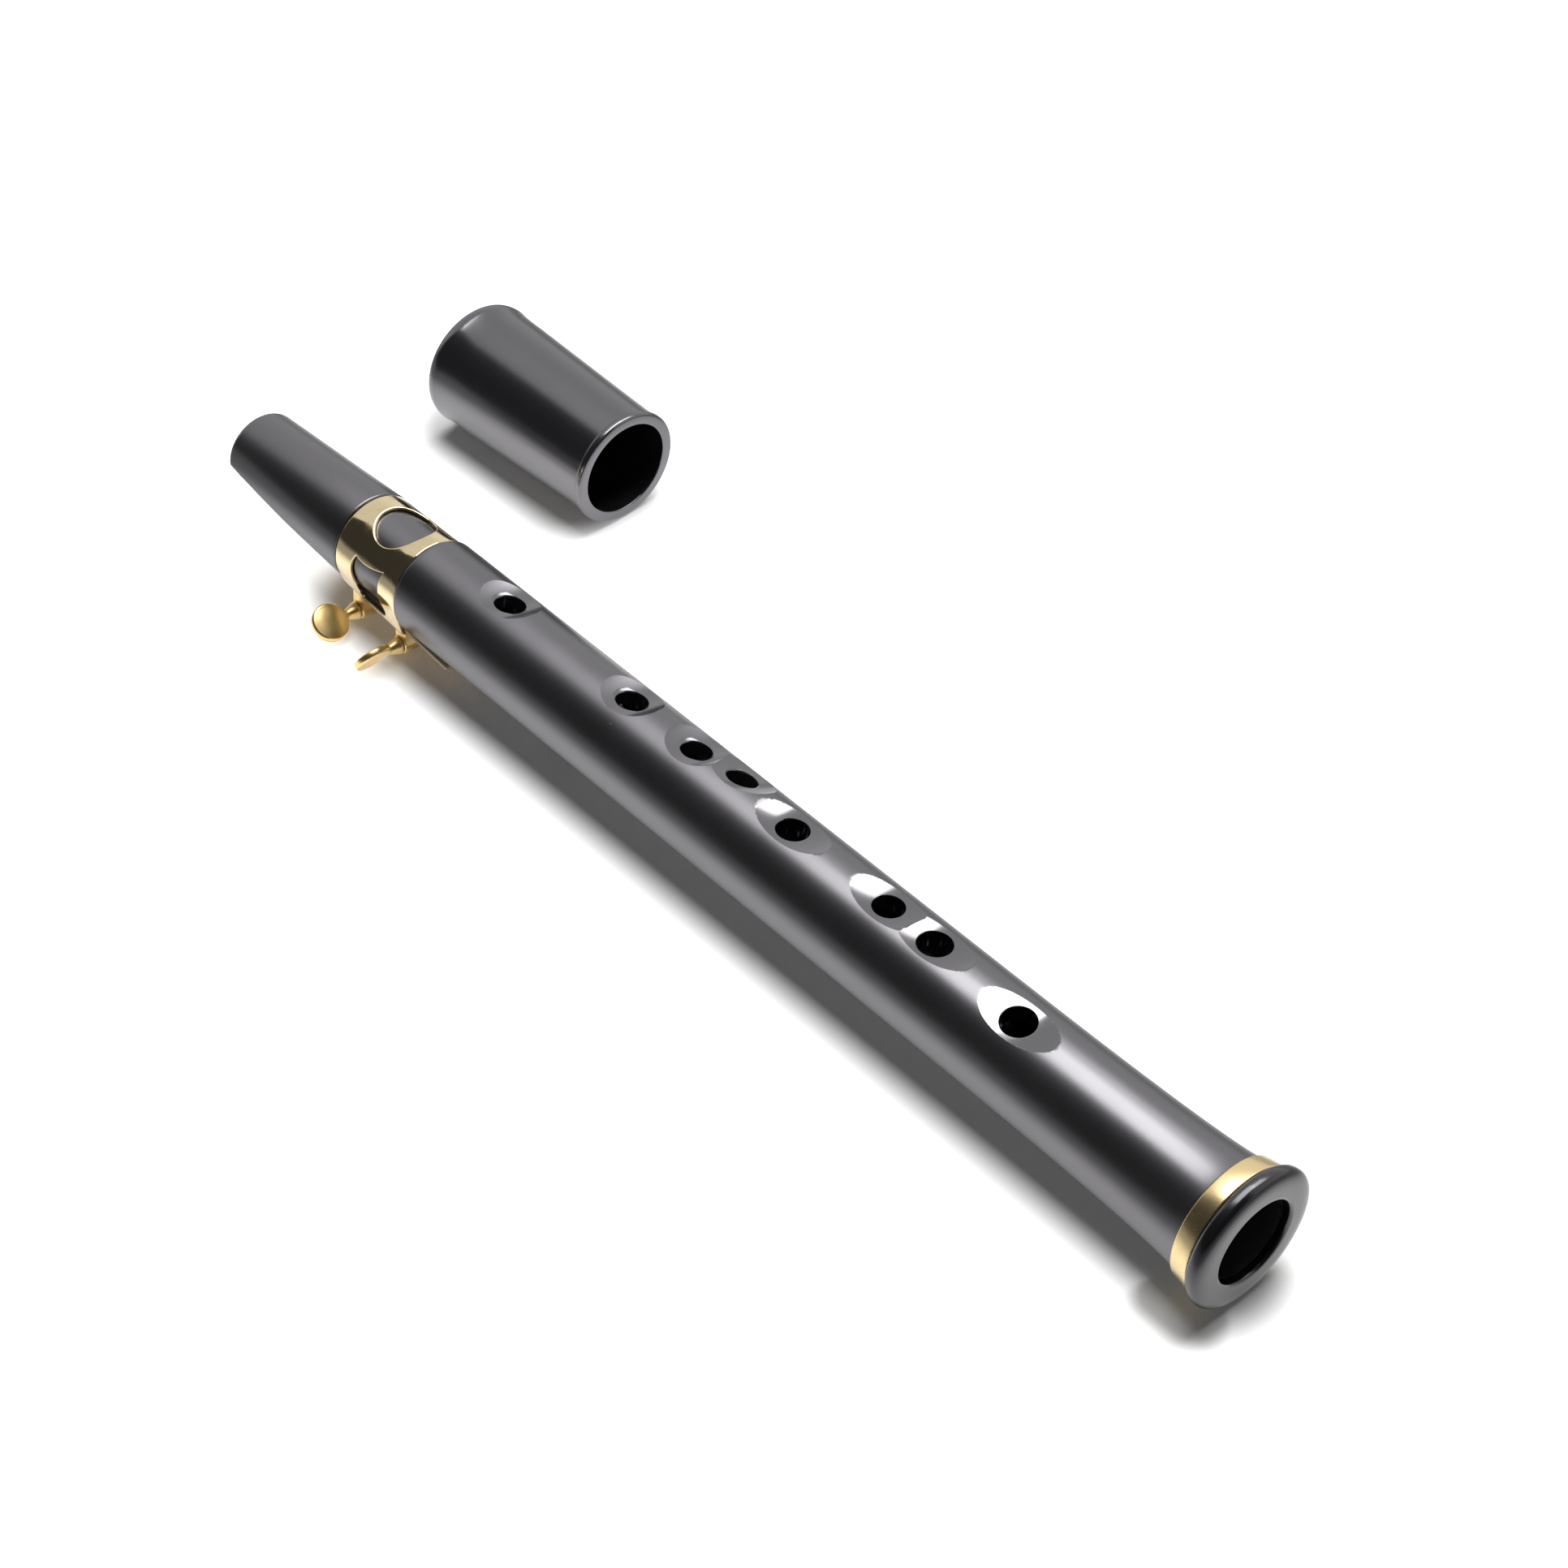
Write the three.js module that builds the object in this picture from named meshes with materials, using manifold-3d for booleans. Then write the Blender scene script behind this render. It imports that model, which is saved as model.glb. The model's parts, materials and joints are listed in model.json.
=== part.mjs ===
// Pocket saxophone: a keyless reed pipe lying on a table beside its mouthpiece cap.
// Millimetres, +Z up. Every piece of the pipe is modelled about the pipe's own axis,
// with X = 0 at the edge where the tube meets the ligature groove, +X towards the bell
// and +Z towards the finger holes. The pipe is then set down on its bell rim, one post
// and one thumbscrew paddle.
import * as THREE from 'three';
import { ConvexGeometry } from 'three/addons/geometries/ConvexGeometry.js';
import { mergeVertices } from 'three/addons/utils/BufferGeometryUtils.js';
import Module from 'manifold-3d';

// Fits
const seatGap = 0.3;             // between pieces that are glued, brazed or pressed together
const runningGap = 0.3;          // round a screw in its posts
const slipGap = 0.3;             // between the cap's bore and the mouthpiece

// Tube
const tubeRadius = 11.25;
const tubeLength = 231.3;        // from the ligature groove to the bell band
const tubeEdge = 0.5;            // broken edge at the groove
const boreRadius = 6.5;
const flareLength = 62;          // the stretch that swells towards the bell
const flareSlope = 0.2;          // outward slope where the flare meets the bell band
const flareRadius = 12.9;        // outside, at the bell band

// Mouthpiece, moulded in one with the tube
const grooveWidth = 21.5;        // the waist that the ligature lies in
const grooveRadius = 9.95;
const beakLength = 42.4;
const beakRootRadius = 10.9;
const beakTipRadius = 9.05;
const beakTipRound = 1.5;
const tipWall = 2.2;             // closes the bore at the tip
const tableDepth = 7.9;          // of the reed table below the axis, at X = 0
const tableAngle = 5.6;          // degrees, the table climbs towards the tip
const layLength = 22;            // of the facing that falls away from the reed
const tipOpening = 1.5;

// Finger holes: station along the tube, turn from the top towards +Y, diameter
const fingerHoles = [
  { station: 24.2, turn: 8.8, diameter: 6.7 },
  { station: 64.1, turn: 8.8, diameter: 6.8 },
  { station: 83.9, turn: 11.0, diameter: 6.6 },
  { station: 95.8, turn: 22.0, diameter: 6.8 },
  { station: 114.2, turn: 3.5, diameter: 6.9 },
  { station: 142.0, turn: 2.4, diameter: 6.6 },
  { station: 155.1, turn: 1.2, diameter: 7.2 },
  { station: 179.8, turn: -10.4, diameter: 7.3 },
];
const thumbHole = { station: 46.0, turn: 180, diameter: 6.8 };
const dishLength = 17.4;
const dishWidth = 10.3;          // straight across, between the dish's two edges
const dishDepth = 1.4;
const dishLift = 1.5;            // the scoop's centre above the tube's surface

// Bell band and rim
const bandWidth = 4.7;
const bandStartRadius = 13.6;    // stands proud of the tube
const bandEndRadius = 14.3;
const spigotRadius = 11.3;
const spigotReach = 1.9;         // of the tube's spigot into the rim
const spigotBore = 8.6;
const rimLength = 3.9;
const rimRadius = 15.4;
const rimFace = 1.4;             // width of the flat ring on the rim's front
const rimFaceRadius = 10.4;      // inner edge of that flat ring
const bellMouthRadius = 9.6;
const bellMouthRound = 0.8;      // depth of the mouth's rounded edge

// Reed
const reedLength = 78;
const reedThickness = 3.0;
const reedTipThickness = 0.35;
const reedButtWidth = 14.0;
const reedTipWidth = 16.2;
const reedTipBulge = 2.2;
const reedBarkRadius = 16;
const reedVampLength = 42;
const reedTipInset = 0.6;        // from the beak's end
const reedSlide = 2.0;           // how far the reed can be set forward or back

// Ligature
const bandThickness = 0.6;
const sideClearance = 0.4;       // between the ligature and the groove's walls
const frontStrap = 6.1;
const rearStrap = 4.7;
const topWindowLength = 12.4;
const topWindowWidth = 13.0;
const sideWindowTop = 4.3;       // above the axis
const sideWindowBottom = 7.4;    // below the axis
const windowCorner = 1.6;
const splitWidth = 5.0;          // of the opening under the reed

// Posts and thumbscrews
const screwDepth = 14.3;         // below the axis
const screwRadius = 1.2;
const postRadius = 2.2;
const postLength = 4.8;
const postFootWidth = 3.6;
const screwTail = 1.2;           // the screw's end past its threaded post
const collarRadius = 2.0;
const collarLength = 1.2;
const neckRadius = 1.5;
const neckLength = 1.4;
const paddleRadius = 4.7;
const paddleThickness = 2.0;
const paddleEdge = 0.5;          // radius of the paddle's rounded edge
const frontPaddleTurn = 37.7;    // degrees about the screw
const rearPaddleTurn = -52.3;

// Cap
const capLength = 54;
const capRimRadius = 13.9;
const capWaistRadius = 13.5;     // just behind the rim's bead
const capBackRadius = 14.7;      // where the lip begins to swell
const capLipRadius = 15.1;
const capBead = 1.4;
const capLip = 8;                // length of the swelling at the closed end
const capLipRound = 3.6;
const capEndWall = 4;
const capRimX = -6.4;            // the open rim's centre, along and across the pipe
const capRimY = 59.2;
const capYaw = 1.2;              // degrees

// Facets
const roundSides = 40;
const smallSides = 20;
const curveSteps = 4;
const flareSteps = 8;
const barkSteps = 4;
const overrun = 1;               // by which a cutter passes the face that it cuts

const wasm = await Module();
wasm.setup();

const radians = THREE.MathUtils.degToRad;
const grooveStart = -grooveWidth;
const beakTip = grooveStart - beakLength;
const bandEnd = tubeLength + bandWidth;
const rimEnd = bandEnd + rimLength;
const tableTilt = radians(tableAngle);

// Turns a closed three.js geometry into a solid, with its faces outwards.
function toSolid(geometry) {
  const bare = geometry.index ? geometry.toNonIndexed() : geometry.clone();
  bare.deleteAttribute('normal');
  bare.deleteAttribute('uv');
  const merged = mergeVertices(bare, 1e-4);
  const corners = merged.index.array;
  const triangles = [];
  for (let i = 0; i < corners.length; i += 3) {
    const [a, b, c] = corners.slice(i, i + 3);
    if (a !== b && b !== c && c !== a) triangles.push(a, b, c);
  }
  const build = (list) => new wasm.Manifold(new wasm.Mesh({
    numProp: 3,
    vertProperties: new Float32Array(merged.attributes.position.array),
    triVerts: new Uint32Array(list),
  }));
  const solid = build(triangles);
  return solid.volume() < 0 ? build(triangles.reverse()) : solid;
}

// Gives a solid back as a flat-shaded three.js geometry.
function toGeometry(solid) {
  const { vertProperties, triVerts } = solid.getMesh();
  const geometry = new THREE.BufferGeometry();
  geometry.setAttribute('position', new THREE.BufferAttribute(new Float32Array(vertProperties), 3));
  geometry.setIndex(new THREE.BufferAttribute(new Uint32Array(triVerts), 1));
  const flat = geometry.toNonIndexed();
  flat.computeVertexNormals();
  return flat;
}

// Revolves a profile of (radius, station) points about the X axis.
function turned(points, sides = roundSides) {
  return new THREE.LatheGeometry(points, sides).rotateZ(-Math.PI / 2);
}

// Extrudes an outline of (X, Y) upwards from Z = 0.
function plate(shape, height) {
  return new THREE.ExtrudeGeometry(shape, { depth: height, bevelEnabled: false, curveSegments: curveSteps });
}

// Extrudes an outline of (X, Z) across the pipe, centred on Y = 0.
function crosswise(shape, width) {
  return plate(shape, width).rotateX(Math.PI / 2).translate(0, width / 2, 0);
}

// A rounded rectangle between two corners.
function roundedBox(left, bottom, right, top, corner) {
  const shape = new THREE.Shape();
  shape.moveTo(left + corner, bottom);
  shape.lineTo(right - corner, bottom);
  shape.quadraticCurveTo(right, bottom, right, bottom + corner);
  shape.lineTo(right, top - corner);
  shape.quadraticCurveTo(right, top, right - corner, top);
  shape.lineTo(left + corner, top);
  shape.quadraticCurveTo(left, top, left, top - corner);
  shape.lineTo(left, bottom + corner);
  shape.quadraticCurveTo(left, bottom, left + corner, bottom);
  return shape;
}

// Moves a geometry from the reed table's frame into the pipe's.
function ontoTable(geometry) {
  return geometry.rotateY(tableTilt).translate(0, 0, -tableDepth);
}

function tableDepthAt(x) {
  return tableDepth + x * Math.tan(tableTilt);
}

// Reed stations, measured along the table
const reedTip = (beakTip + reedTipInset) / Math.cos(tableTilt);
const reedButt = reedTip + reedLength;
const seatEnd = reedButt + reedSlide + seatGap;
const reedLower = seatGap + reedThickness;

function reedHalfWidthAt(x) {
  const share = (reedButt - x) / reedLength;
  return THREE.MathUtils.lerp(reedButtWidth, reedTipWidth, share) / 2;
}

// Tube and mouthpiece

function bodyOuter() {
  const path = new THREE.Path();
  path.moveTo(0, beakTip);
  path.lineTo(beakTipRadius - beakTipRound, beakTip);
  path.quadraticCurveTo(beakTipRadius, beakTip, beakTipRadius, beakTip + beakTipRound);
  path.lineTo(beakRootRadius, grooveStart - tubeEdge);
  path.lineTo(beakRootRadius - tubeEdge, grooveStart);
  path.lineTo(grooveRadius, grooveStart);
  path.lineTo(grooveRadius, 0);
  path.lineTo(tubeRadius - tubeEdge, 0);
  path.lineTo(tubeRadius, tubeEdge);
  path.lineTo(tubeRadius, tubeLength - flareLength);
  const points = path.getPoints(curveSteps);
  const bend = tubeLength - (flareRadius - tubeRadius) / flareSlope;
  const flare = new THREE.QuadraticBezierCurve(
    new THREE.Vector2(tubeRadius, tubeLength - flareLength),
    new THREE.Vector2(tubeRadius, bend),
    new THREE.Vector2(flareRadius, tubeLength),
  );
  points.push(...flare.getPoints(flareSteps).slice(1));
  points.push(new THREE.Vector2(spigotRadius, tubeLength));
  points.push(new THREE.Vector2(spigotRadius, bandEnd + spigotReach));
  points.push(new THREE.Vector2(0, bandEnd + spigotReach));
  return turned(points);
}

function boreCutter() {
  const boreEnd = bandEnd + spigotReach;
  const path = new THREE.Path();
  path.moveTo(0, beakTip + tipWall);
  path.lineTo(boreRadius, beakTip + tipWall);
  path.lineTo(boreRadius, tubeLength - flareLength);
  path.quadraticCurveTo(boreRadius, tubeLength - flareLength / 3, spigotBore, boreEnd);
  path.lineTo(spigotBore, boreEnd + overrun);
  path.lineTo(0, boreEnd + overrun);
  return turned(path.getPoints(curveSteps));
}

// A finger hole with the scooped dish round it.
function holeCutters({ station, turn, diameter }) {
  const hole = new THREE.CylinderGeometry(diameter / 2, diameter / 2, tubeRadius, smallSides)
    .rotateX(Math.PI / 2)
    .translate(0, 0, tubeRadius / 2 + overrun);
  const drop = tubeRadius - Math.sqrt(tubeRadius ** 2 - (dishWidth / 2) ** 2);
  const reach = dishLift + dishDepth;
  const halfLength = dishLength / 2 / Math.sqrt(1 - (dishLift / reach) ** 2);
  const halfWidth = dishWidth / 2 / Math.sqrt(1 - ((dishLift + drop) / reach) ** 2);
  const dish = new THREE.SphereGeometry(1, smallSides, smallSides / 2)
    .rotateX(Math.PI / 2)
    .scale(halfLength, halfWidth, reach)
    .translate(0, 0, tubeRadius + dishLift);
  return [hole, dish].map((cutter) => cutter.rotateX(-radians(turn)).translate(station, 0, 0));
}

// The flat that the reed lies on, and the facing that falls away from it at the tip.
function tableCutters() {
  const width = 4 * tubeRadius;
  const height = 2 * tubeRadius;
  const length = seatEnd - beakTip + 2 * tubeRadius;
  const flat = new THREE.BoxGeometry(length, width, height)
    .translate(seatEnd - length / 2, 0, -height / 2);
  const facing = new THREE.BoxGeometry(length, width, height)
    .translate(-length / 2, 0, -height / 2)
    .rotateY(Math.atan(tipOpening / layLength))
    .translate(reedTip + layLength, 0, 0);
  return [ontoTable(flat), ontoTable(facing)];
}

function bodySolid() {
  const cutters = [boreCutter(), ...tableCutters()];
  for (const hole of [...fingerHoles, thumbHole]) cutters.push(...holeCutters(hole));
  return cutters.reduce((solid, cutter) => solid.subtract(toSolid(cutter)), toSolid(bodyOuter()));
}

// Bell end

function bellBandGeometry() {
  const inner = spigotRadius + seatGap;
  const rear = tubeLength + seatGap;
  const front = bandEnd;
  return turned([
    new THREE.Vector2(inner, rear),
    new THREE.Vector2(bandStartRadius, rear),
    new THREE.Vector2(bandEndRadius, front),
    new THREE.Vector2(inner, front),
    new THREE.Vector2(inner, rear),
  ]);
}

function bellRimGeometry() {
  const rear = bandEnd + seatGap;
  const socketEnd = bandEnd + spigotReach + seatGap;
  const crown = (rear + rimEnd) / 2;
  const path = new THREE.Path();
  path.moveTo(spigotRadius + seatGap, rear);
  path.lineTo(bandEndRadius, rear);
  path.quadraticCurveTo(rimRadius, rear, rimRadius, crown);
  path.quadraticCurveTo(rimRadius, rimEnd, rimFaceRadius + rimFace, rimEnd);
  path.lineTo(rimFaceRadius, rimEnd);
  path.quadraticCurveTo(bellMouthRadius, rimEnd, bellMouthRadius, rimEnd - bellMouthRound);
  path.lineTo(spigotBore, socketEnd);
  path.lineTo(spigotRadius + seatGap, socketEnd);
  path.lineTo(spigotRadius + seatGap, rear);
  return turned(path.getPoints(curveSteps));
}

// Reed, in the table's frame with its flat side just under Z = 0

function reedSolid() {
  const buttHalf = reedButtWidth / 2;
  const tipHalf = reedTipWidth / 2;
  const tipCorner = reedTip + reedTipBulge;
  const outline = new THREE.Shape();
  outline.moveTo(reedButt, -buttHalf);
  outline.lineTo(reedButt, buttHalf);
  outline.lineTo(tipCorner, tipHalf);
  outline.quadraticCurveTo(reedTip - reedTipBulge, 0, tipCorner, -tipHalf);
  outline.lineTo(reedButt, -buttHalf);
  const blank = plate(outline, reedThickness).translate(0, 0, -reedLower);
  const bark = turned([
    new THREE.Vector2(0, reedTip - overrun),
    new THREE.Vector2(reedBarkRadius, reedTip - overrun),
    new THREE.Vector2(reedBarkRadius, reedButt + overrun),
    new THREE.Vector2(0, reedButt + overrun),
  ], 2 * roundSides).translate(0, 0, reedBarkRadius - reedLower);
  const vamp = new THREE.Shape();
  const heel = reedTip + reedVampLength;
  const below = -reedLower - overrun;
  vamp.moveTo(heel, below);
  vamp.lineTo(heel, -reedLower);
  vamp.quadraticCurveTo(
    heel - reedVampLength / 2, -seatGap - reedThickness / 3,
    reedTip - overrun, -seatGap - reedTipThickness,
  );
  vamp.lineTo(reedTip - overrun, below);
  vamp.lineTo(heel, below);
  return toSolid(blank).intersect(toSolid(bark)).subtract(toSolid(crosswise(vamp, 2 * reedTipWidth)));
}

// Ligature

const ligatureFront = grooveStart + sideClearance;
const ligatureRear = -sideClearance;
const ligatureInner = grooveRadius + seatGap;

// Points round the groove, down to the reed table, and round the reed's bark at station x,
// grown by an offset.
function ligatureOutline(x, offset) {
  const seat = -tableDepthAt(x);
  const half = reedHalfWidthAt(x);
  const circles = [{ y: 0, z: 0, radius: ligatureInner + offset, lowest: seat }];
  for (let step = -barkSteps; step <= barkSteps; step += 1) {
    const y = (half * step) / barkSteps;
    const rise = reedBarkRadius - Math.sqrt(reedBarkRadius ** 2 - y ** 2);
    circles.push({ y, z: seat - reedLower + rise, radius: seatGap + offset, lowest: -Infinity });
  }
  const points = [];
  for (const circle of circles) {
    for (let i = 0; i < roundSides; i += 1) {
      const angle = (2 * Math.PI * i) / roundSides;
      const z = circle.z + circle.radius * Math.cos(angle);
      if (z >= circle.lowest) points.push(new THREE.Vector3(x, circle.y + circle.radius * Math.sin(angle), z));
    }
  }
  return points;
}

// The space inside the ligature, grown by an offset and reaching past both its ends.
function ligatureSpace(offset, past) {
  const front = ligatureOutline(ligatureFront - past, offset);
  const rear = ligatureOutline(ligatureRear + past, offset);
  return toSolid(new ConvexGeometry([...front, ...rear]));
}

function ligatureSolid() {
  const windowFront = ligatureFront + frontStrap;
  const windowRear = ligatureRear - rearStrap;
  const oval = new THREE.Shape();
  oval.absellipse((windowFront + windowRear) / 2, 0, topWindowLength / 2, topWindowWidth / 2, 0, 2 * Math.PI);
  const top = new THREE.ExtrudeGeometry(oval, {
    depth: 2 * tubeRadius, bevelEnabled: false, curveSegments: smallSides,
  });
  const side = roundedBox(windowFront, -sideWindowBottom, windowRear, sideWindowTop, windowCorner);
  const split = new THREE.BoxGeometry(4 * grooveWidth, splitWidth, 2 * tubeRadius).translate(0, 0, -tubeRadius);
  return ligatureSpace(bandThickness, 0)
    .subtract(ligatureSpace(0, overrun))
    .subtract(toSolid(top))
    .subtract(toSolid(crosswise(side, 4 * tubeRadius)))
    .subtract(toSolid(split));
}

// Posts and thumbscrews

const frontScrewX = ligatureFront + frontStrap / 2;
const rearScrewX = ligatureRear - rearStrap / 2;
const postInner = splitWidth / 2 + seatGap;
const postOuter = postInner + postLength;

// A rod along Y between two stations.
function rod(radius, from, to, sides = smallSides) {
  return new THREE.CylinderGeometry(radius, radius, to - from, sides).translate(0, (from + to) / 2, 0);
}

// One post, on the +Y side (side = 1) or the -Y side (side = -1), at the screw's station.
function postSolid(x, side) {
  const barrel = rod(postRadius, postInner, postOuter);
  const foot = new THREE.BoxGeometry(postFootWidth, postLength, screwDepth)
    .translate(0, (postInner + postOuter) / 2, screwDepth / 2);
  const hole = rod(screwRadius + runningGap, 0, postOuter + overrun);
  const [barrelPart, footPart, holePart] = [barrel, foot, hole].map((part) => toSolid(
    part.rotateZ(side > 0 ? 0 : Math.PI).translate(x, 0, -screwDepth),
  ));
  return barrelPart.add(footPart)
    .subtract(ligatureSpace(bandThickness + seatGap, overrun))
    .subtract(holePart);
}

const collarStart = postOuter + seatGap;
const neckStart = collarStart + collarLength;
const paddleCentre = neckStart + neckLength + paddleRadius;

// A thumbscrew along Y through its own origin, its paddle flat in the XY plane.
function thumbscrewSolid() {
  const shank = rod(screwRadius, -neckStart, postOuter + screwTail);
  const collar = rod(collarRadius, -neckStart, -collarStart);
  const neck = rod(neckRadius, -paddleCentre, -neckStart);
  const rimHeight = paddleThickness / 2 - paddleEdge / 2;
  const profile = new THREE.Path();
  profile.moveTo(0, -paddleThickness / 2);
  profile.lineTo(paddleRadius - 2 * paddleEdge, -rimHeight);
  profile.quadraticCurveTo(paddleRadius, -rimHeight, paddleRadius, 0);
  profile.quadraticCurveTo(paddleRadius, rimHeight, paddleRadius - 2 * paddleEdge, rimHeight);
  profile.lineTo(0, paddleThickness / 2);
  const paddle = new THREE.LatheGeometry(profile.getPoints(curveSteps), smallSides)
    .rotateX(Math.PI / 2)
    .translate(0, -paddleCentre, 0);
  return [collar, neck, paddle].reduce((solid, part) => solid.add(toSolid(part)), toSolid(shank));
}

// Cap, with its closed end's face at X = 0 and its open rim towards +X

function capGeometry() {
  const bore = beakRootRadius + slipGap;
  const path = new THREE.Path();
  path.moveTo(0, 0);
  path.lineTo(capLipRadius - capLipRound, 0);
  path.quadraticCurveTo(capLipRadius, 0, capLipRadius, capLipRound);
  path.quadraticCurveTo(capBackRadius, capLip / 2 + capLipRound / 2, capBackRadius, capLip + capLipRound);
  path.lineTo(capWaistRadius, capLength - 2 * capBead);
  path.quadraticCurveTo(capRimRadius, capLength - 2 * capBead, capRimRadius, capLength - capBead);
  path.quadraticCurveTo(capRimRadius, capLength, capRimRadius - capBead, capLength);
  path.lineTo(bore, capLength);
  path.lineTo(bore, capEndWall);
  path.lineTo(0, capEndWall);
  return turned(path.getPoints(curveSteps));
}

// Finishes

const blackPlastic = { color: 0x1b1a1e, roughness: 0.42, metalness: 0 };
const glossBlack = { color: 0x151417, roughness: 0.22, metalness: 0 };
const brass = { color: 0xcfa24a, roughness: 0.2, metalness: 1 };
const cane = { color: 0xd9b580, roughness: 0.65, metalness: 0 };

function piece(name, geometry, finish) {
  const mesh = new THREE.Mesh(geometry, new THREE.MeshStandardMaterial(finish));
  mesh.name = name;
  return mesh;
}

// Pipe

const pipe = new THREE.Group();
pipe.add(piece('body', toGeometry(bodySolid()), blackPlastic));
pipe.add(piece('bell_band', toGeometry(toSolid(bellBandGeometry())), brass));
pipe.add(piece('bell_rim', toGeometry(toSolid(bellRimGeometry())), glossBlack));

const table = new THREE.Group();
table.position.z = -tableDepth;
table.rotation.y = tableTilt;
table.add(piece('reed', toGeometry(reedSolid()), cane));
pipe.add(table);

pipe.add(piece('ligature_band', toGeometry(ligatureSolid()), brass));
const screws = [
  { end: 'front', x: frontScrewX, turn: frontPaddleTurn },
  { end: 'rear', x: rearScrewX, turn: rearPaddleTurn },
];
for (const { end, x, turn } of screws) {
  pipe.add(piece(`${end}_plain_post`, toGeometry(postSolid(x, -1)), brass));
  pipe.add(piece(`${end}_threaded_post`, toGeometry(postSolid(x, 1)), brass));
  const screw = piece(`${end}_thumbscrew`, toGeometry(thumbscrewSolid()), brass);
  screw.position.set(x, 0, -screwDepth);
  screw.rotation.y = radians(turn);
  pipe.add(screw);
}

// The pipe leans on its rear threaded post, its rear paddle and its bell rim.
const paddleDrop = (paddleRadius - paddleEdge) * Math.abs(Math.sin(radians(rearPaddleTurn))) + paddleEdge;
const roll = Math.atan((paddleDrop - postRadius) / (paddleCentre + postOuter));
const restDepth = screwDepth + postRadius + postOuter * Math.tan(roll);
const pitch = Math.asin((restDepth * Math.cos(roll) - rimRadius) / (rimEnd - rearScrewX));
pipe.rotation.x = -roll;
const pitched = new THREE.Group();
pitched.rotation.y = pitch;
pitched.add(pipe);

// Cap

const cap = new THREE.Group();
cap.add(piece('mouthpiece_cap', toGeometry(toSolid(capGeometry())), glossBlack));
const capPitch = Math.asin((capLipRadius - capRimRadius) / (capLength - capBead - capLipRound));
cap.rotation.set(0, capPitch, radians(capYaw), 'ZYX');
const capAxis = new THREE.Vector3(1, 0, 0).applyEuler(cap.rotation);
cap.position.set(capRimX, capRimY, 0).addScaledVector(capAxis, -capLength);

// Stands a group on the table plane, at Z = 0.
function setDown(group) {
  group.updateMatrixWorld(true);
  group.position.z -= new THREE.Box3().setFromObject(group, true).min.z;
}

setDown(pitched);
setDown(cap);

// The origin is on the table, under the middle of the whole.
const pocketSaxophone = new THREE.Group();
pocketSaxophone.add(pitched, cap);
pocketSaxophone.updateMatrixWorld(true);
const middle = new THREE.Box3().setFromObject(pocketSaxophone, true).getCenter(new THREE.Vector3());
pocketSaxophone.position.set(-middle.x, -middle.y, 0);

export default pocketSaxophone;
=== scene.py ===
"""Looks of a keyless pocket saxophone that lies on a white table beside its mouthpiece cap.

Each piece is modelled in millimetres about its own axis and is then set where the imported
model has it. The pipe's own frame has X = 0 at the edge where the tube meets the ligature
groove, +X towards the bell and +Z towards the finger holes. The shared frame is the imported
model's, in metres. Finishes, table, lamps and camera are in metres too.
"""

import json
import logging
import math
from dataclasses import dataclass
from enum import Enum
from typing import Callable, Iterable, Optional

import bmesh
import bpy
from bmesh.types import BMEdge, BMesh, BMVert
from bpy.types import Material, Node, NodeSocket, NodeTree
from mathutils import Matrix, Vector


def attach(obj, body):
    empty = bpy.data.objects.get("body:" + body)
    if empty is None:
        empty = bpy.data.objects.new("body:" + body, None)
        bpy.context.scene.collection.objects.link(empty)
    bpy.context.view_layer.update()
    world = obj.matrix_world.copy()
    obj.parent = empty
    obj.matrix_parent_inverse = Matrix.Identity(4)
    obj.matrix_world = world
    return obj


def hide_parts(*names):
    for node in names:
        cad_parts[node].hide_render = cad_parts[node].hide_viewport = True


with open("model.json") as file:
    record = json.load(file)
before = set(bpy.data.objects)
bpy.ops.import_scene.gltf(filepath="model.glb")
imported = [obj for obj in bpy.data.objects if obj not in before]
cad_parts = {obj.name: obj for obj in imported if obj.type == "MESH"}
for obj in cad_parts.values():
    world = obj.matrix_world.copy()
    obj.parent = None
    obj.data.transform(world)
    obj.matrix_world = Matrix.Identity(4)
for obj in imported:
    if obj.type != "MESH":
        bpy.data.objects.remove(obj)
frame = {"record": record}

LOG = logging.getLogger("pocket_saxophone")
MILLIMETRE = 0.001
WELD = 1e-4
SCOOP_MARK = "scoop"

Point = tuple[float, float]
Corner = tuple[float, float, float]
Place = tuple[float, float, float]
Colour = tuple[float, float, float]
Profile = list[Point]


class Body(Enum):
    """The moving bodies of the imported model."""

    PIPE = "pipe"
    REED = "reed"
    FRONT_SCREW = "front_screw"
    REAR_SCREW = "rear_screw"
    CAP = "cap"


class Slot(Enum):
    """The record's material slots."""

    SATIN_BLACK = "satin_black"
    GLOSS_BLACK = "gloss_black"
    BRASS = "polished_brass"
    CANE = "cane"


class Cut(Enum):
    """Ways to combine two closed shapes."""

    TAKE_AWAY = "DIFFERENCE"
    JOIN = "UNION"


# Mesh tools


def rounded(corners: Iterable[Corner], steps: int = 6) -> Profile:
    """Rounds the corners of an open line.

    Args:
        corners: (station, radius, rounding) of each corner.
        steps: segments in each rounded corner.

    Returns:
        The points of the line, with an arc in place of each rounded corner.
    """
    points = list(corners)
    line: Profile = []
    for index, (x, r, rounding) in enumerate(points):
        here = Vector((x, r))
        if rounding <= 0 or index in (0, len(points) - 1):
            line.append((x, r))
            continue
        before = (here - Vector(points[index - 1][:2])).normalized()
        after = (Vector(points[index + 1][:2]) - here).normalized()
        turn = before.angle(after)
        inward = (after - before).normalized()
        centre = here + inward * (rounding / math.cos(turn / 2))
        start = here - before * (rounding * math.tan(turn / 2)) - centre
        sense = math.copysign(1.0, before.x * after.y - before.y * after.x)
        for step in range(steps + 1):
            angle = sense * turn * step / steps
            spoke = Matrix.Rotation(angle, 2) @ start
            line.append((centre.x + spoke.x, centre.y + spoke.y))
    return line


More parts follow.
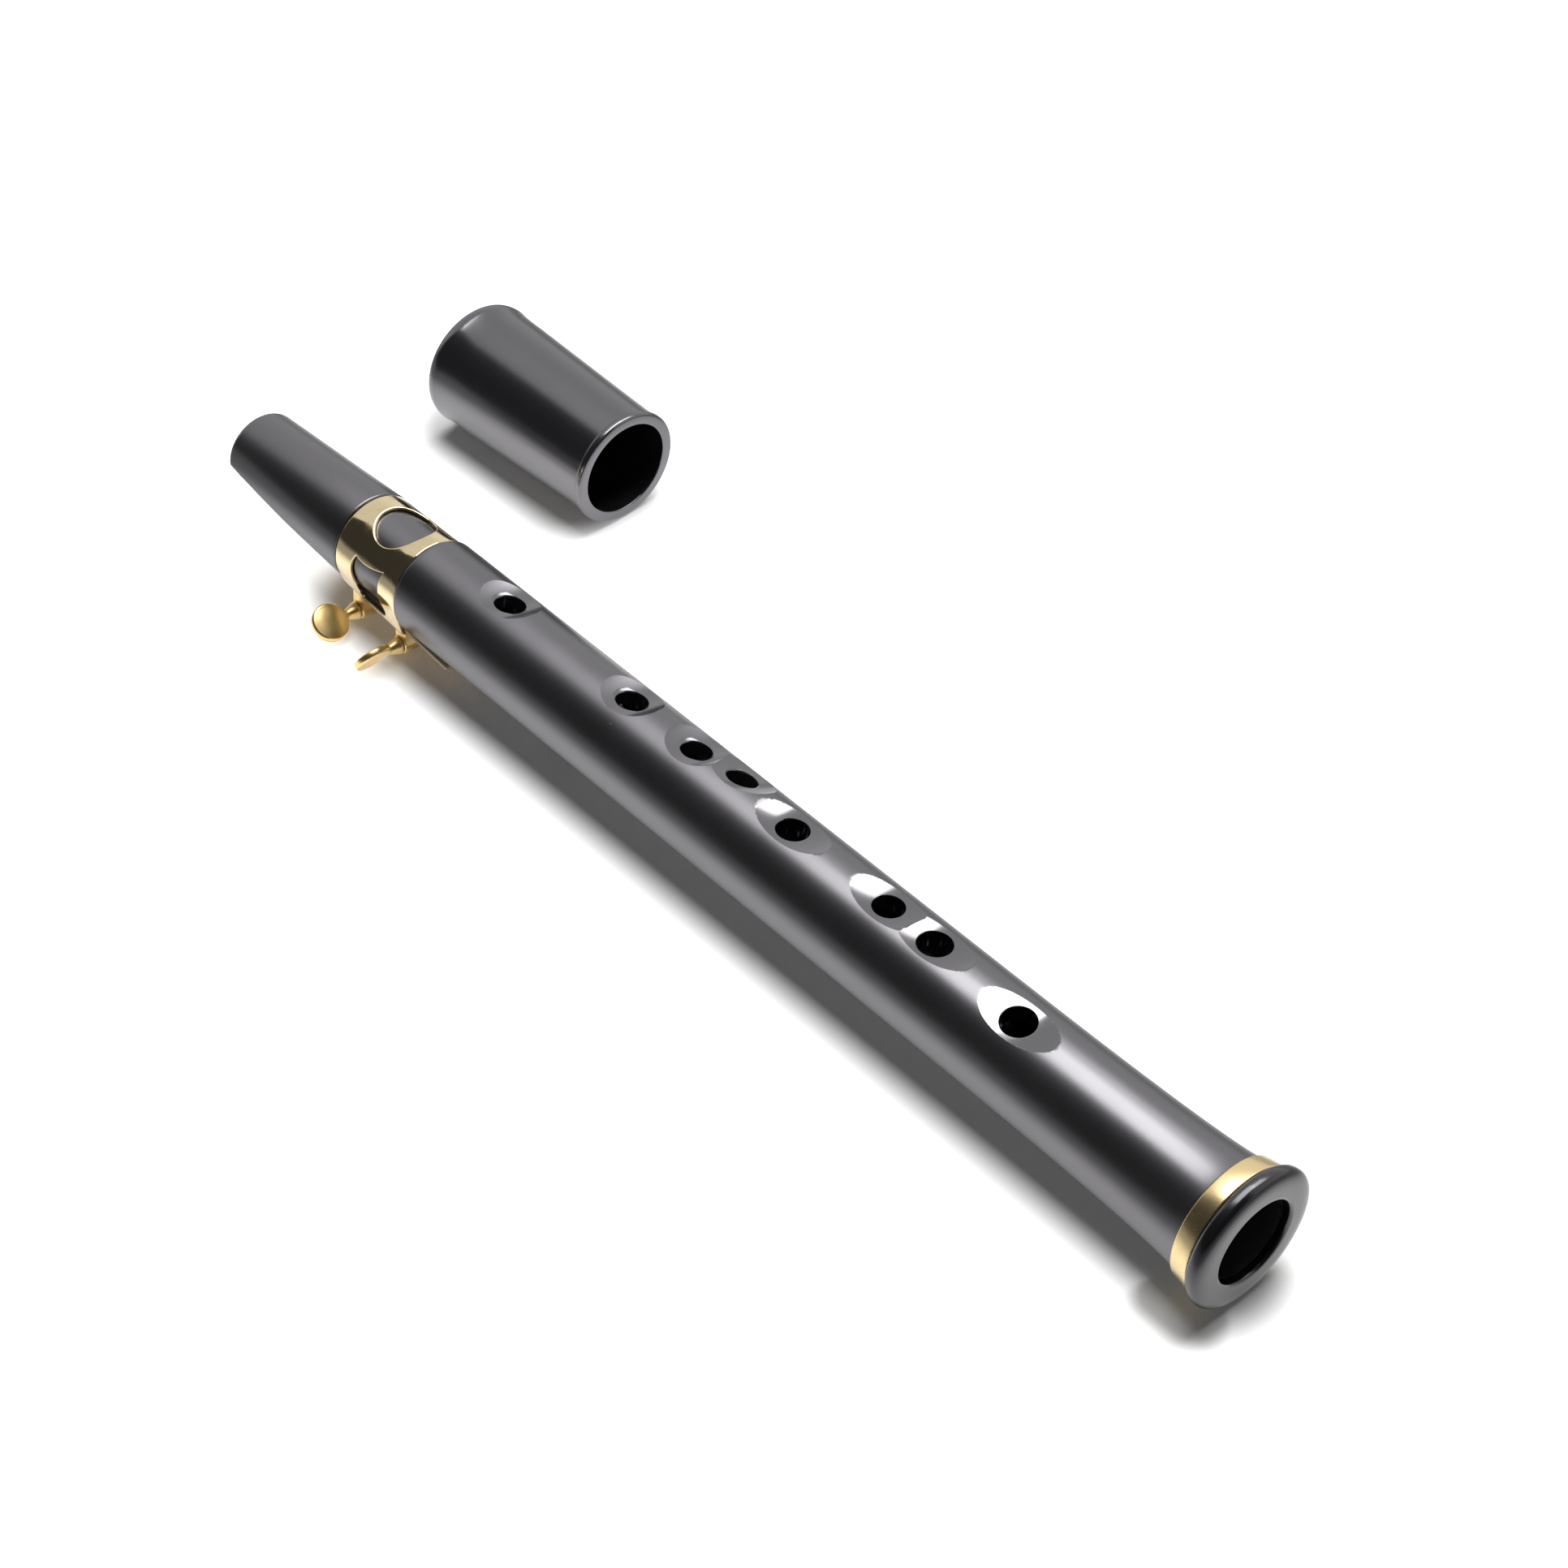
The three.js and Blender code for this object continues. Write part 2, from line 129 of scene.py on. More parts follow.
def bend(start: Point, pull: Point, end: Point, steps: int = 14) -> Profile:
    """Draws a smooth bend.

    Args:
        start: its first point.
        pull: the point that it is drawn towards.
        end: its last point.
        steps: segments in the bend.

    Returns:
        The points of the bend.
    """
    line: Profile = []
    for step in range(steps + 1):
        t = step / steps
        line.append(tuple(
            (1 - t) ** 2 * a + 2 * t * (1 - t) * b + t * t * c for a, b, c in zip(start, pull, end)
        ))
    return line


def spun(profile: Profile, sides: int) -> BMesh:
    """Turns a profile that starts and ends on the X axis, or closes on itself.

    Args:
        profile: (station, radius) points.
        sides: segments round the axis.

    Returns:
        The turned shape, with outward faces.
    """
    bm = bmesh.new()
    line = [bm.verts.new((x, 0.0, r)) for x, r in profile]
    edges = [bm.edges.new(pair) for pair in zip(line, line[1:])]
    bmesh.ops.spin(
        bm,
        geom=line + edges,
        cent=(0, 0, 0),
        axis=(1, 0, 0),
        angle=2 * math.pi,
        steps=sides,
        use_merge=True,
    )
    return tidied(bm)


def tidied(bm: BMesh) -> BMesh:
    """Welds doubled points, drops what has no face and turns the faces outwards.

    Args:
        bm: the shape.

    Returns:
        The same shape.
    """
    bmesh.ops.remove_doubles(bm, verts=bm.verts, dist=WELD)
    bmesh.ops.dissolve_degenerate(bm, edges=bm.edges, dist=WELD)
    loose = [vert for vert in bm.verts if not vert.link_faces]
    bmesh.ops.delete(bm, geom=loose, context="VERTS")
    bmesh.ops.recalc_face_normals(bm, faces=bm.faces)
    return bm


def moved(bm: BMesh, matrix: Matrix) -> BMesh:
    """Applies a matrix to every point of a shape."""
    bmesh.ops.transform(bm, matrix=matrix, verts=bm.verts)
    return bm


def block(low: Vector, high: Vector) -> BMesh:
    """Makes a box.

    Args:
        low: its lowest corner.
        high: its highest corner.

    Returns:
        The box.
    """
    bm = bmesh.new()
    middle = Matrix.Translation((low + high) / 2)
    size = Matrix.Diagonal((*(high - low), 1.0))
    bmesh.ops.create_cube(bm, size=1.0, matrix=middle @ size)
    return bm


def hull(points: Iterable[Vector]) -> BMesh:
    """Wraps a tight skin round a cloud of points.

    Args:
        points: the cloud.

    Returns:
        The closed skin.
    """
    bm = bmesh.new()
    for point in points:
        bm.verts.new(point)
    bmesh.ops.convex_hull(bm, input=bm.verts[:])
    return tidied(bm)


def new_points(grown: dict) -> list[BMVert]:
    """The points that an extrusion added."""
    return [part for part in grown["geom"] if isinstance(part, BMVert)]


def slab(outline: Iterable[Point], height: float) -> BMesh:
    """Extrudes a closed outline of (X, Y) upwards from Z = 0.

    Args:
        outline: the corners, in order.
        height: of the slab.

    Returns:
        The closed slab.
    """
    bm = bmesh.new()
    face = bm.faces.new([bm.verts.new((x, y, 0.0)) for x, y in outline])
    grown = bmesh.ops.extrude_face_region(bm, geom=[face])
    bmesh.ops.translate(bm, verts=new_points(grown), vec=(0, 0, height))
    return tidied(bm)


def merged(shapes: Iterable[BMesh]) -> BMesh:
    """Puts several shapes into one mesh, each still a shell of its own.

    Args:
        shapes: what to put together. Each is freed.

    Returns:
        The mesh of them all.
    """
    whole = bmesh.new()
    for shape in shapes:
        mesh = bpy.data.meshes.new("part")
        shape.to_mesh(mesh)
        shape.free()
        whole.from_mesh(mesh)
        bpy.data.meshes.remove(mesh)
    return whole


def loose_object(bm: BMesh, name: str) -> bpy.types.Object:
    """Makes an object of a shape and frees the shape.

    Args:
        bm: the shape.
        name: of the object and its mesh.

    Returns:
        The object, in the scene.
    """
    mesh = bpy.data.meshes.new(name)
    bm.to_mesh(mesh)
    bm.free()
    thing = bpy.data.objects.new(name, mesh)
    bpy.context.scene.collection.objects.link(thing)
    return thing


def combined(blank: BMesh, tools: Iterable[tuple[Cut, BMesh]]) -> BMesh:
    """Joins shapes to a blank or takes them away from it, in order.

    Args:
        blank: the closed shape to work on.
        tools: what to do with each closed shape, and the shape.

    Returns:
        The worked shape.
    """
    work = loose_object(blank, "blank")
    helpers = []
    for cut, tool in tools:
        helper = loose_object(tool, "tool")
        modifier = work.modifiers.new(cut.name, "BOOLEAN")
        modifier.operation = cut.value
        modifier.solver = "EXACT"
        modifier.object = helper
        helpers.append(helper)
    result = bmesh.new()
    result.from_object(work, bpy.context.evaluated_depsgraph_get())
    for thing in [work, *helpers]:
        mesh = thing.data
        bpy.data.objects.remove(thing)
        bpy.data.meshes.remove(mesh)
    bmesh.ops.remove_doubles(result, verts=result.verts, dist=WELD)
    return result


def bevelled(bm: BMesh, edges: list[BMEdge], width: float, segments: int, clamp: bool) -> BMesh:
    """Rounds some edges of a shape.

    Args:
        bm: the shape.
        edges: which edges.
        width: of the rounding.
        segments: across the rounding.
        clamp: whether roundings stop where they would meet.

    Returns:
        The same shape.
    """
    bmesh.ops.bevel(
        bm,
        geom=edges,
        offset=width,
        offset_type="OFFSET",
        affect="EDGES",
        segments=segments,
        profile=0.5,
        material=-1,
        clamp_overlap=clamp,
    )
    return bm


def eased(bm: BMesh, width: float, limit: float) -> BMesh:
    """Rounds every edge that is sharper than a limit.

    Args:
        bm: the shape.
        width: of the rounding.
        limit: smallest angle between two faces, in degrees.

    Returns:
        The same shape.
    """
    sharp = [
        edge
        for edge in bm.edges
        if len(edge.link_faces) == 2 and edge.calc_face_angle(0.0) > math.radians(limit)
    ]
    return bevelled(bm, sharp, width, segments=2, clamp=True)


def along_y() -> Matrix:
    """Turns a shape about X into one about Y."""
    return Matrix.Rotation(math.pi / 2, 4, "Z")


def along_z() -> Matrix:
    """Turns a shape about X into one about Z."""
    return Matrix.Rotation(-math.pi / 2, 4, "Y")


@dataclass(frozen=True)
class Finished:
    """Where a finished piece belongs, and the angle in degrees from which its edges show."""

    name: str
    node: str
    body: Body
    slot: Slot
    crease: float = 35.0

    def settle(self, bm: BMesh, matrix: Matrix, material: Material) -> bpy.types.Object:
        """Makes the piece's object, in the shared frame, in place of its node.

        Args:
            bm: the shape, in millimetres, in its own frame.
            matrix: from that frame, in metres, to the shared frame.
            material: its finish.

        Returns:
            The new object.
        """
        moved(bm, matrix @ Matrix.Scale(MILLIMETRE, 4))
        thing = loose_object(bm, self.name)
        mesh = thing.data
        mesh.materials.append(material)
        mesh.shade_smooth()
        mesh.set_sharp_from_angle(angle=math.radians(self.crease))
        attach(thing, self.body.value)
        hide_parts(self.node)
        LOG.info("%s: %d faces", self.name, len(mesh.polygons))
        return thing


# Where the pieces stand


@dataclass(frozen=True)
class PipeSizes:
    """Sizes that more than one piece of the pipe goes by, in millimetres and degrees."""

    seat_gap: float = 0.3
    tube_radius: float = 11.25
    tube_length: float = 231.3
    groove_width: float = 21.5
    groove_radius: float = 9.95
    beak_length: float = 42.4
    table_depth: float = 7.9
    table_angle: float = 5.6
    band_width: float = 4.7
    spigot_radius: float = 11.3
    spigot_reach: float = 1.9
    spigot_bore: float = 9.3
    reed_length: float = 78.0
    reed_thickness: float = 3.0
    reed_butt_width: float = 15.9
    reed_tip_width: float = 16.2
    reed_bark_radius: float = 16.0
    reed_tip_inset: float = 0.6
    reed_slide: float = 2.0
    screw_depth: float = 14.3
    side_clearance: float = 0.4
    front_strap: float = 6.1
    rear_strap: float = 4.7

    @property
    def tilt(self) -> float:
        """The reed table's slope, in radians."""
        return math.radians(self.table_angle)

    @property
    def beak_tip(self) -> float:
        """Station of the mouthpiece's end."""
        return -self.groove_width - self.beak_length

    @property
    def band_end(self) -> float:
        """Station where the bell band meets the rim."""
        return self.tube_length + self.band_width

    @property
    def reed_tip(self) -> float:
        """Station of the reed's tip, along its table."""
        return (self.beak_tip + self.reed_tip_inset) / math.cos(self.tilt)

    @property
    def reed_butt(self) -> float:
        """Station of the reed's thick end, along its table."""
        return self.reed_tip + self.reed_length

    @property
    def front_screw(self) -> float:
        """Station of the front thumbscrew."""
        return -self.groove_width + self.side_clearance + self.front_strap / 2

    @property
    def rear_screw(self) -> float:
        """Station of the rear thumbscrew."""
        return -self.side_clearance - self.rear_strap / 2

    def table_at(self, x: float) -> float:
        """Depth of the reed table below the pipe's axis."""
        return self.table_depth + x * math.tan(self.tilt)

    def reed_half_width(self, x: float) -> float:
        """Half the reed's width at a station along it."""
        share = (self.reed_butt - x) / self.reed_length
        return (self.reed_butt_width + (self.reed_tip_width - self.reed_butt_width) * share) / 2


@dataclass(frozen=True)
class Placement:
    """Matrices from the pieces' own frames to the shared frame, in metres."""

    pipe: Matrix
    table: Matrix
    cap: Matrix

    @staticmethod
    def axes(along: Vector, across: Vector, origin: Vector) -> Matrix:
        """Sets out a frame.

        Args:
            along: direction of its X.
            across: direction that its Y is nearest to.
            origin: where it stands.

        Returns:
            The matrix from that frame.
        """
        x = along.normalized()
        z = x.cross(across).normalized()
        y = z.cross(x)
        turn = Matrix((x, y, z)).transposed().to_4x4()
        return Matrix.Translation(origin) @ turn

    @classmethod
    def from_record(cls, record: dict, sizes: PipeSizes) -> "Placement":
        """Reads where the pipe and the cap lie.

        Args:
            record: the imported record.
            sizes: of the pipe.

        Returns:
            The three frames.
        """
        joints = {joint["name"]: joint for joint in record["behaviour"]["joints"]}
        mounts = {mount["name"]: mount for mount in record["mounts"]}
        screw = joints["rear_screw_turn"]
        along = Vector(mounts["bell_rim_face"]["axis"])
        turned = cls.axes(along, -Vector(screw["axis"]), Vector(screw["pos_m"]))
        to_axis = Vector((-sizes.rear_screw, 0.0, sizes.screw_depth)) * MILLIMETRE
        pipe = turned @ Matrix.Translation(to_axis)
        down = Matrix.Translation((0, 0, -sizes.table_depth * MILLIMETRE))
        table = pipe @ down @ Matrix.Rotation(sizes.tilt, 4, "Y")
        end = mounts["cap_end_face"]
        cap = cls.axes(-Vector(end["axis"]), Vector((0, 1, 0)), Vector(end["pos_m"]))
        return cls(pipe, table, cap)


# Shader tools


def opaque(colour: Colour) -> tuple[float, float, float, float]:
    """A colour with full alpha."""
    return (*colour, 1.0)


class Bench:
    """A short way to set out and join shader nodes in one tree."""

    def __init__(self, tree: NodeTree) -> None:
        """Starts on a tree."""
        self.tree = tree

    def add(self, kind: str, settings: Optional[dict] = None, **sockets: object) -> Node:
        """Adds a node.

        Args:
            kind: its type, without the leading "ShaderNode".
            settings: attributes of the node itself.
            **sockets: plain values, or sockets to join, for its inputs, with _ for a space.

        Returns:
            The node.
        """
        node = self.tree.nodes.new("ShaderNode" + kind)
        for key, value in (settings or {}).items():
            setattr(node, key, value)
        self.fit(node, **sockets)
        return node

    def fit(self, node: Node, **sockets: object) -> None:
        """Fills inputs of a node, named with _ for a space."""
        for key, value in sockets.items():
            self.feed(node.inputs[key.replace("_", " ")], value)

    def feed(self, socket: NodeSocket, value: object) -> None:
        """Sets an input, or joins a socket to it.

        Args:
            socket: the input.
            value: a plain value or a socket.
        """
        if isinstance(value, NodeSocket):
            self.tree.links.new(value, socket)
        else:
            socket.default_value = value

    def coordinates(self) -> NodeSocket:
        """Object coordinates."""
        return self.add("TexCoord").outputs["Object"]

    def own_frame(self, place: NodeSocket, matrix: Matrix) -> NodeSocket:
        """Takes a place back into a piece's own frame.

        Args:
            place: Object coordinates.
            matrix: from the piece's own frame to the shared frame.

        Returns:
            The place in the piece's own frame.
        """
        back = matrix.inverted()
        node = self.add(
            "Mapping", {"vector_type": "POINT"}, Vector=place,
            Location=back.to_translation(), Rotation=back.to_euler(),
        )
        return node.outputs["Vector"]

    def noise(self, place: object, scale: object, detail: float, roughness: float = 0.5) -> NodeSocket:
        """Adds a Noise Texture.

        Args:
            place: its vector.
            scale: how many times it varies in a metre.
            detail: how many finer layers it has.
            roughness: how strong the finer layers are.

        Returns:
            The noise's value.
        """
        node = self.add("TexNoise", Vector=place, Scale=scale, Detail=detail, Roughness=roughness)
        return node.outputs[0]

    def sum(self, kind: str, first: object, second: object = 0.0) -> NodeSocket:
        """Adds a Math node.

        Args:
            kind: its operation.
            first: the first value.
            second: the second value, where the operation has one.

        Returns:
            The result, not clamped.
        """
        node = self.add("Math", {"operation": kind})
        for socket, value in zip(node.inputs, (first, second)):
            self.feed(socket, value)
        return node.outputs[0]

    def weighed(self, first: object, second: object, share: float) -> NodeSocket:
        """Adds two values, the first by its share and the second by the rest."""
        rest = self.sum("MULTIPLY", second, 1.0 - share)
        return self.sum("ADD", self.sum("MULTIPLY", first, share), rest)

    def ramp(
        self, value: object, low: float, high: float, to_low: float = 0.0, to_high: float = 1.0,
    ) -> NodeSocket:
        """Maps a value smoothly from one range to another.

        Args:
            value: what to map.
            low: start of its range.
            high: end of its range.
            to_low: what the start becomes.
            to_high: what the end becomes.

        Returns:
            The mapped value.
        """
        node = self.add(
            "MapRange", {"interpolation_type": "SMOOTHSTEP"},
            Value=value, From_Min=low, From_Max=high, To_Min=to_low, To_Max=to_high,
        )
        return node.outputs["Result"]

    def tint(self, mask: object, first: object, second: object) -> NodeSocket:
        """Mixes two colours by a mask.

        Args:
            mask: 0 for the first colour, 1 for the second.
            first: a colour.
            second: a colour.

        Returns:
            The mixed colour.
        """
        node = self.add("Mix", {"data_type": "RGBA"})
        colour_inputs = [socket for socket in node.inputs if socket.type == "RGBA"]
        self.feed(node.inputs[0], mask)
        self.feed(colour_inputs[0], first)
        self.feed(colour_inputs[1], second)
        return next(socket for socket in node.outputs if socket.type == "RGBA")


class Effect(Enum):
    """Shader node groups that several finishes share."""

    GRAIN = "moulded_grain"
    SPECKS = "dust_specks"
    TARNISH = "lacquer_tarnish"


class EffectShelf:
    """Builds each shared node group once."""

    VECTOR = "NodeSocketVector"
    VALUE = "NodeSocketFloat"
    BROAD_GRAIN_SCALE = 0.045
    FINE_GRAIN_SHARE = 0.4
    SMALLEST_SPECK = 0.3
    CLOUD_RANGE = (0.42, 0.72)

    def __init__(self) -> None:
        """Starts empty."""
        self.makers: dict[Effect, Callable[[], NodeTree]] = {
            Effect.GRAIN: self.grain,
            Effect.SPECKS: self.specks,
            Effect.TARNISH: self.tarnish,
        }
        self.made: dict[Effect, NodeTree] = {}

    def place(self, bench: Bench, effect: Effect, **sockets: object) -> Node:
        """Puts an effect into a material.

        Args:
            bench: of the material.
            effect: which group.
            **sockets: the group's inputs.

        Returns:
            The group's node.
        """
        if effect not in self.made:
            self.made[effect] = self.makers[effect]()
        return bench.add("Group", {"node_tree": self.made[effect]}, **sockets)

    def group(
        self, effect: Effect, inputs: Iterable[str], outputs: Iterable[str],
    ) -> tuple[Bench, dict[str, NodeSocket], Node]:
        """Opens a new group.

        Args:
            effect: which group.
            inputs: names of its value inputs, besides Vector.
            outputs: names of its value outputs.

        Returns:
            A bench in the group, its inputs by name, and its output node.
        """
        tree = bpy.data.node_groups.new(effect.value, "ShaderNodeTree")
        tree.interface.new_socket(name="Vector", in_out="INPUT", socket_type=self.VECTOR)
        for name in inputs:
            tree.interface.new_socket(name=name, in_out="INPUT", socket_type=self.VALUE)
        for name in outputs:
            tree.interface.new_socket(name=name, in_out="OUTPUT", socket_type=self.VALUE)
        source = tree.nodes.new("NodeGroupInput")
        sink = tree.nodes.new("NodeGroupOutput")
        return Bench(tree), {socket.name: socket for socket in source.outputs}, sink

    def grain(self) -> NodeTree:
        """Makes the fine skin of a moulding: uneven gloss, and a little relief.

        Returns:
            The group.
        """
        bench, given, sink = self.group(
            Effect.GRAIN, ("Grain Size", "Roughness", "Unevenness"), ("Roughness", "Height"),
        )
        scale = bench.sum("DIVIDE", 1.0, given["Grain Size"])
        fine = bench.noise(given["Vector"], scale, detail=3.0, roughness=0.6)
        broad_scale = bench.sum("MULTIPLY", scale, self.BROAD_GRAIN_SCALE)
        broad = bench.noise(given["Vector"], broad_scale, detail=2.0)
        centred = bench.sum("SUBTRACT", bench.weighed(fine, broad, self.FINE_GRAIN_SHARE), 0.5)
        offset = bench.sum("MULTIPLY", centred, given["Unevenness"])
        bench.fit(sink, Roughness=bench.sum("ADD", given["Roughness"], offset), Height=fine)
        return bench.tree

    def specks(self) -> NodeTree:
        """Makes scattered specks of dust.

        Returns:
            The group.
        """
        bench, given, sink = self.group(Effect.SPECKS, ("Spacing", "Share", "Size"), ("Mask",))
        scale = bench.sum("DIVIDE", 1.0, given["Spacing"])
        cells = bench.add("TexVoronoi", Vector=given["Vector"], Scale=scale)
        pick = bench.add("SeparateColor", Color=cells.outputs["Color"])
        chosen = bench.sum("LESS_THAN", pick.outputs[0], given["Share"])
        usual = bench.sum("DIVIDE", given["Size"], given["Spacing"])
        size = bench.sum("MULTIPLY", usual, bench.sum("ADD", pick.outputs[1], self.SMALLEST_SPECK))
        spot = bench.sum("LESS_THAN", cells.outputs["Distance"], size)
        bench.fit(sink, Mask=bench.sum("MULTIPLY", chosen, spot))
        return bench.tree

    def tarnish(self) -> NodeTree:
        """Makes cloudy darkening under lacquer, with faint polishing lines.

        Returns:
            The group.
        """
        bench, given, sink = self.group(
            Effect.TARNISH, ("Cloud Size", "Line Size"), ("Cloud", "Height"),
        )
        cloud_scale = bench.sum("DIVIDE", 1.0, given["Cloud Size"])
        cloud = bench.noise(given["Vector"], cloud_scale, detail=5.0, roughness=0.62)
        line_scale = bench.sum("DIVIDE", 1.0, given["Line Size"])
        lines = bench.noise(given["Vector"], line_scale, detail=2.0)
        bench.fit(sink, Cloud=bench.ramp(cloud, *self.CLOUD_RANGE), Height=lines)
        return bench.tree


SHELF = EffectShelf()


def new_material(name: str) -> tuple[Material, Bench, Node]:
    """Starts a material.

    Args:
        name: of the material.

    Returns:
        The material, a bench in its tree, and its Principled BSDF.
    """
    material = bpy.data.materials.new(name)
    material.use_nodes = True
    shader = material.node_tree.nodes["Principled BSDF"]
    return material, Bench(material.node_tree), shader


# Finishes


@dataclass(frozen=True)
class MouldedBlack:
    """Black moulded plastic with a scatter of dust.

    The dishes of the pipe may be more polished than the rest, and a parting line may run along it.
    """

    name: str
    colour: Colour = (0.0075, 0.007, 0.0085)
    roughness: float = 0.31
    unevenness: float = 0.1
    grain_size: float = 0.0006
    relief: float = 0.012
    relief_depth: float = 0.0002
    ior: float = 2.5
    gloss_tint: Colour = (0.97, 0.945, 1.0)
    coat: float = 0.0
    coat_roughness: float = 0.06
    coat_ior: float = 1.5
    dust_colour: Colour = (0.17, 0.165, 0.17)
    dust_spacing: float = 0.0075
    dust_share: float = 0.22
    dust_size: float = 0.00016
    dust_roughness: float = 0.5
    polish: float = 0.0
    seam: Optional[Matrix] = None
    seam_start: float = 0.0006
    seam_width: float = 0.00012
    seam_colour: Colour = (0.004, 0.0038, 0.0042)
    seam_strength: float = 0.55
    seam_depth: float = 2.5

    def material(self) -> Material:
        """Builds the finish.

        Returns:
            The material.
        """
        material, bench, shader = new_material(self.name)
        place = bench.coordinates()
        grain = SHELF.place(
            bench, Effect.GRAIN, Vector=place,
            Grain_Size=self.grain_size, Roughness=self.roughness, Unevenness=self.unevenness,
        )
        specks = SHELF.place(
            bench, Effect.SPECKS, Vector=place,
            Spacing=self.dust_spacing, Share=self.dust_share, Size=self.dust_size,
        )
        dust = specks.outputs["Mask"]
        colour = bench.tint(dust, opaque(self.colour), opaque(self.dust_colour))
        roughness = grain.outputs["Roughness"]
        height = grain.outputs["Height"]
        coat: object = self.coat
        if self.polish > 0:
            coat = bench.add("Attribute", {"attribute_name": SCOOP_MARK}).outputs["Fac"]
            smoother = bench.ramp(coat, 0.0, 1.0, 1.0, 1.0 - self.polish)
            roughness = bench.sum("MULTIPLY", roughness, smoother)
        if self.seam is not None:
            line = self.parting_line(bench, place)
            darker = bench.sum("MULTIPLY", line, self.seam_strength)
            colour = bench.tint(darker, colour, opaque(self.seam_colour))
            height = bench.sum("SUBTRACT", height, bench.sum("MULTIPLY", line, self.seam_depth))
        bump = bench.add("Bump", Strength=self.relief, Distance=self.relief_depth, Height=height)
        dusty = bench.sum("MULTIPLY", dust, self.dust_roughness)
        bench.fit(
            shader,
            Base_Color=colour,
            Roughness=bench.sum("ADD", roughness, dusty),
            Normal=bump.outputs["Normal"],
            IOR=self.ior,
            Specular_Tint=opaque(self.gloss_tint),
            Coat_Weight=coat,
            Coat_Roughness=self.coat_roughness,
            Coat_IOR=self.coat_ior,
        )
        return material

    def parting_line(self, bench: Bench, place: NodeSocket) -> NodeSocket:
        """Marks the thin line along both sides of the tube, where the mould's halves met.

        Args:
            bench: of the material.
            place: Object coordinates.

        Returns:
            A mask of the line.
        """
        parts = bench.add("SeparateXYZ", Vector=bench.own_frame(place, self.seam))
        off = bench.sum("ABSOLUTE", parts.outputs["Z"])
        near = bench.ramp(off, 0.0, self.seam_width, 1.0, 0.0)
        on_tube = bench.sum("GREATER_THAN", parts.outputs["X"], self.seam_start)
        return bench.sum("MULTIPLY", near, on_tube)


@dataclass(frozen=True)
class PolishedBrass:
    """Brass that is polished and lacquered, with cloudy tarnish and dark specks."""

    name: str
    colour: Colour = (0.92, 0.77, 0.48)
    roughness: float = 0.1
    relief: float = 0.03
    relief_depth: float = 0.0001
    line_size: float = 0.00035
    cloud_colour: Colour = (0.76, 0.57, 0.28)
    cloud_strength: float = 0.5
    cloud_roughness: float = 0.08
    cloud_size: float = 0.004
    speck_colour: Colour = (0.28, 0.2, 0.1)
    speck_strength: float = 0.6
    speck_spacing: float = 0.004
    speck_share: float = 0.25
    speck_size: float = 0.0001
    lacquer: float = 0.25
    lacquer_roughness: float = 0.08

    def material(self) -> Material:
        """Builds the finish.

        Returns:
            The material.
        """
        material, bench, shader = new_material(self.name)
        place = bench.coordinates()
        tarnish = SHELF.place(
            bench, Effect.TARNISH, Vector=place, Cloud_Size=self.cloud_size, Line_Size=self.line_size,
        )
        specks = SHELF.place(
            bench, Effect.SPECKS, Vector=place,
            Spacing=self.speck_spacing, Share=self.speck_share, Size=self.speck_size,
        )
        cloud = tarnish.outputs["Cloud"]
        clouded = bench.sum("MULTIPLY", cloud, self.cloud_strength)
        spotted = bench.sum("MULTIPLY", specks.outputs["Mask"], self.speck_strength)
        metal = bench.tint(clouded, opaque(self.colour), opaque(self.cloud_colour))
        dullest = self.roughness + self.cloud_roughness
        lines = tarnish.outputs["Height"]
        bump = bench.add("Bump", Strength=self.relief, Distance=self.relief_depth, Height=lines)
        bench.fit(
            shader,
            Base_Color=bench.tint(spotted, metal, opaque(self.speck_colour)),
            Roughness=bench.ramp(cloud, 0.0, 1.0, self.roughness, dullest),
            Normal=bump.outputs["Normal"],
            Metallic=1.0,
            Coat_Weight=self.lacquer,
            Coat_Roughness=self.lacquer_roughness,
        )
        return material


@dataclass(frozen=True)
class CaneFibre:
    """Bare cane, with fibres along the reed."""

    name: str
    table: Matrix
    pale: Colour = (0.9, 0.76, 0.54)
    deep: Colour = (0.72, 0.55, 0.33)
    fibre_scale: tuple[float, float, float] = (40.0, 1800.0, 1800.0)
    fibre_share: float = 0.7
    broad_scale: float = 90.0
    shade_range: Point = (0.36, 0.66)
    gloss_range: Point = (0.3, 0.7)
    smooth: float = 0.42
    rough: float = 0.62
    relief: float = 0.12
    relief_depth: float = 0.0002

    def material(self) -> Material:
        """Builds the finish.

        Returns:
            The material.
        """
        material, bench, shader = new_material(self.name)
        own = bench.own_frame(bench.coordinates(), self.table)
        drawn = bench.add("Mapping", {"vector_type": "POINT"}, Vector=own, Scale=self.fibre_scale)
        fibres = bench.noise(drawn.outputs["Vector"], 1.0, detail=3.0, roughness=0.7)
        broad = bench.noise(own, self.broad_scale, detail=3.0)
        mask = bench.ramp(bench.weighed(fibres, broad, self.fibre_share), *self.shade_range)
        bump = bench.add("Bump", Strength=self.relief, Distance=self.relief_depth, Height=fibres)
        bench.fit(
            shader,
            Base_Color=bench.tint(mask, opaque(self.deep), opaque(self.pale)),
            Roughness=bench.ramp(fibres, *self.gloss_range, self.smooth, self.rough),
            Normal=bump.outputs["Normal"],
        )
        return material


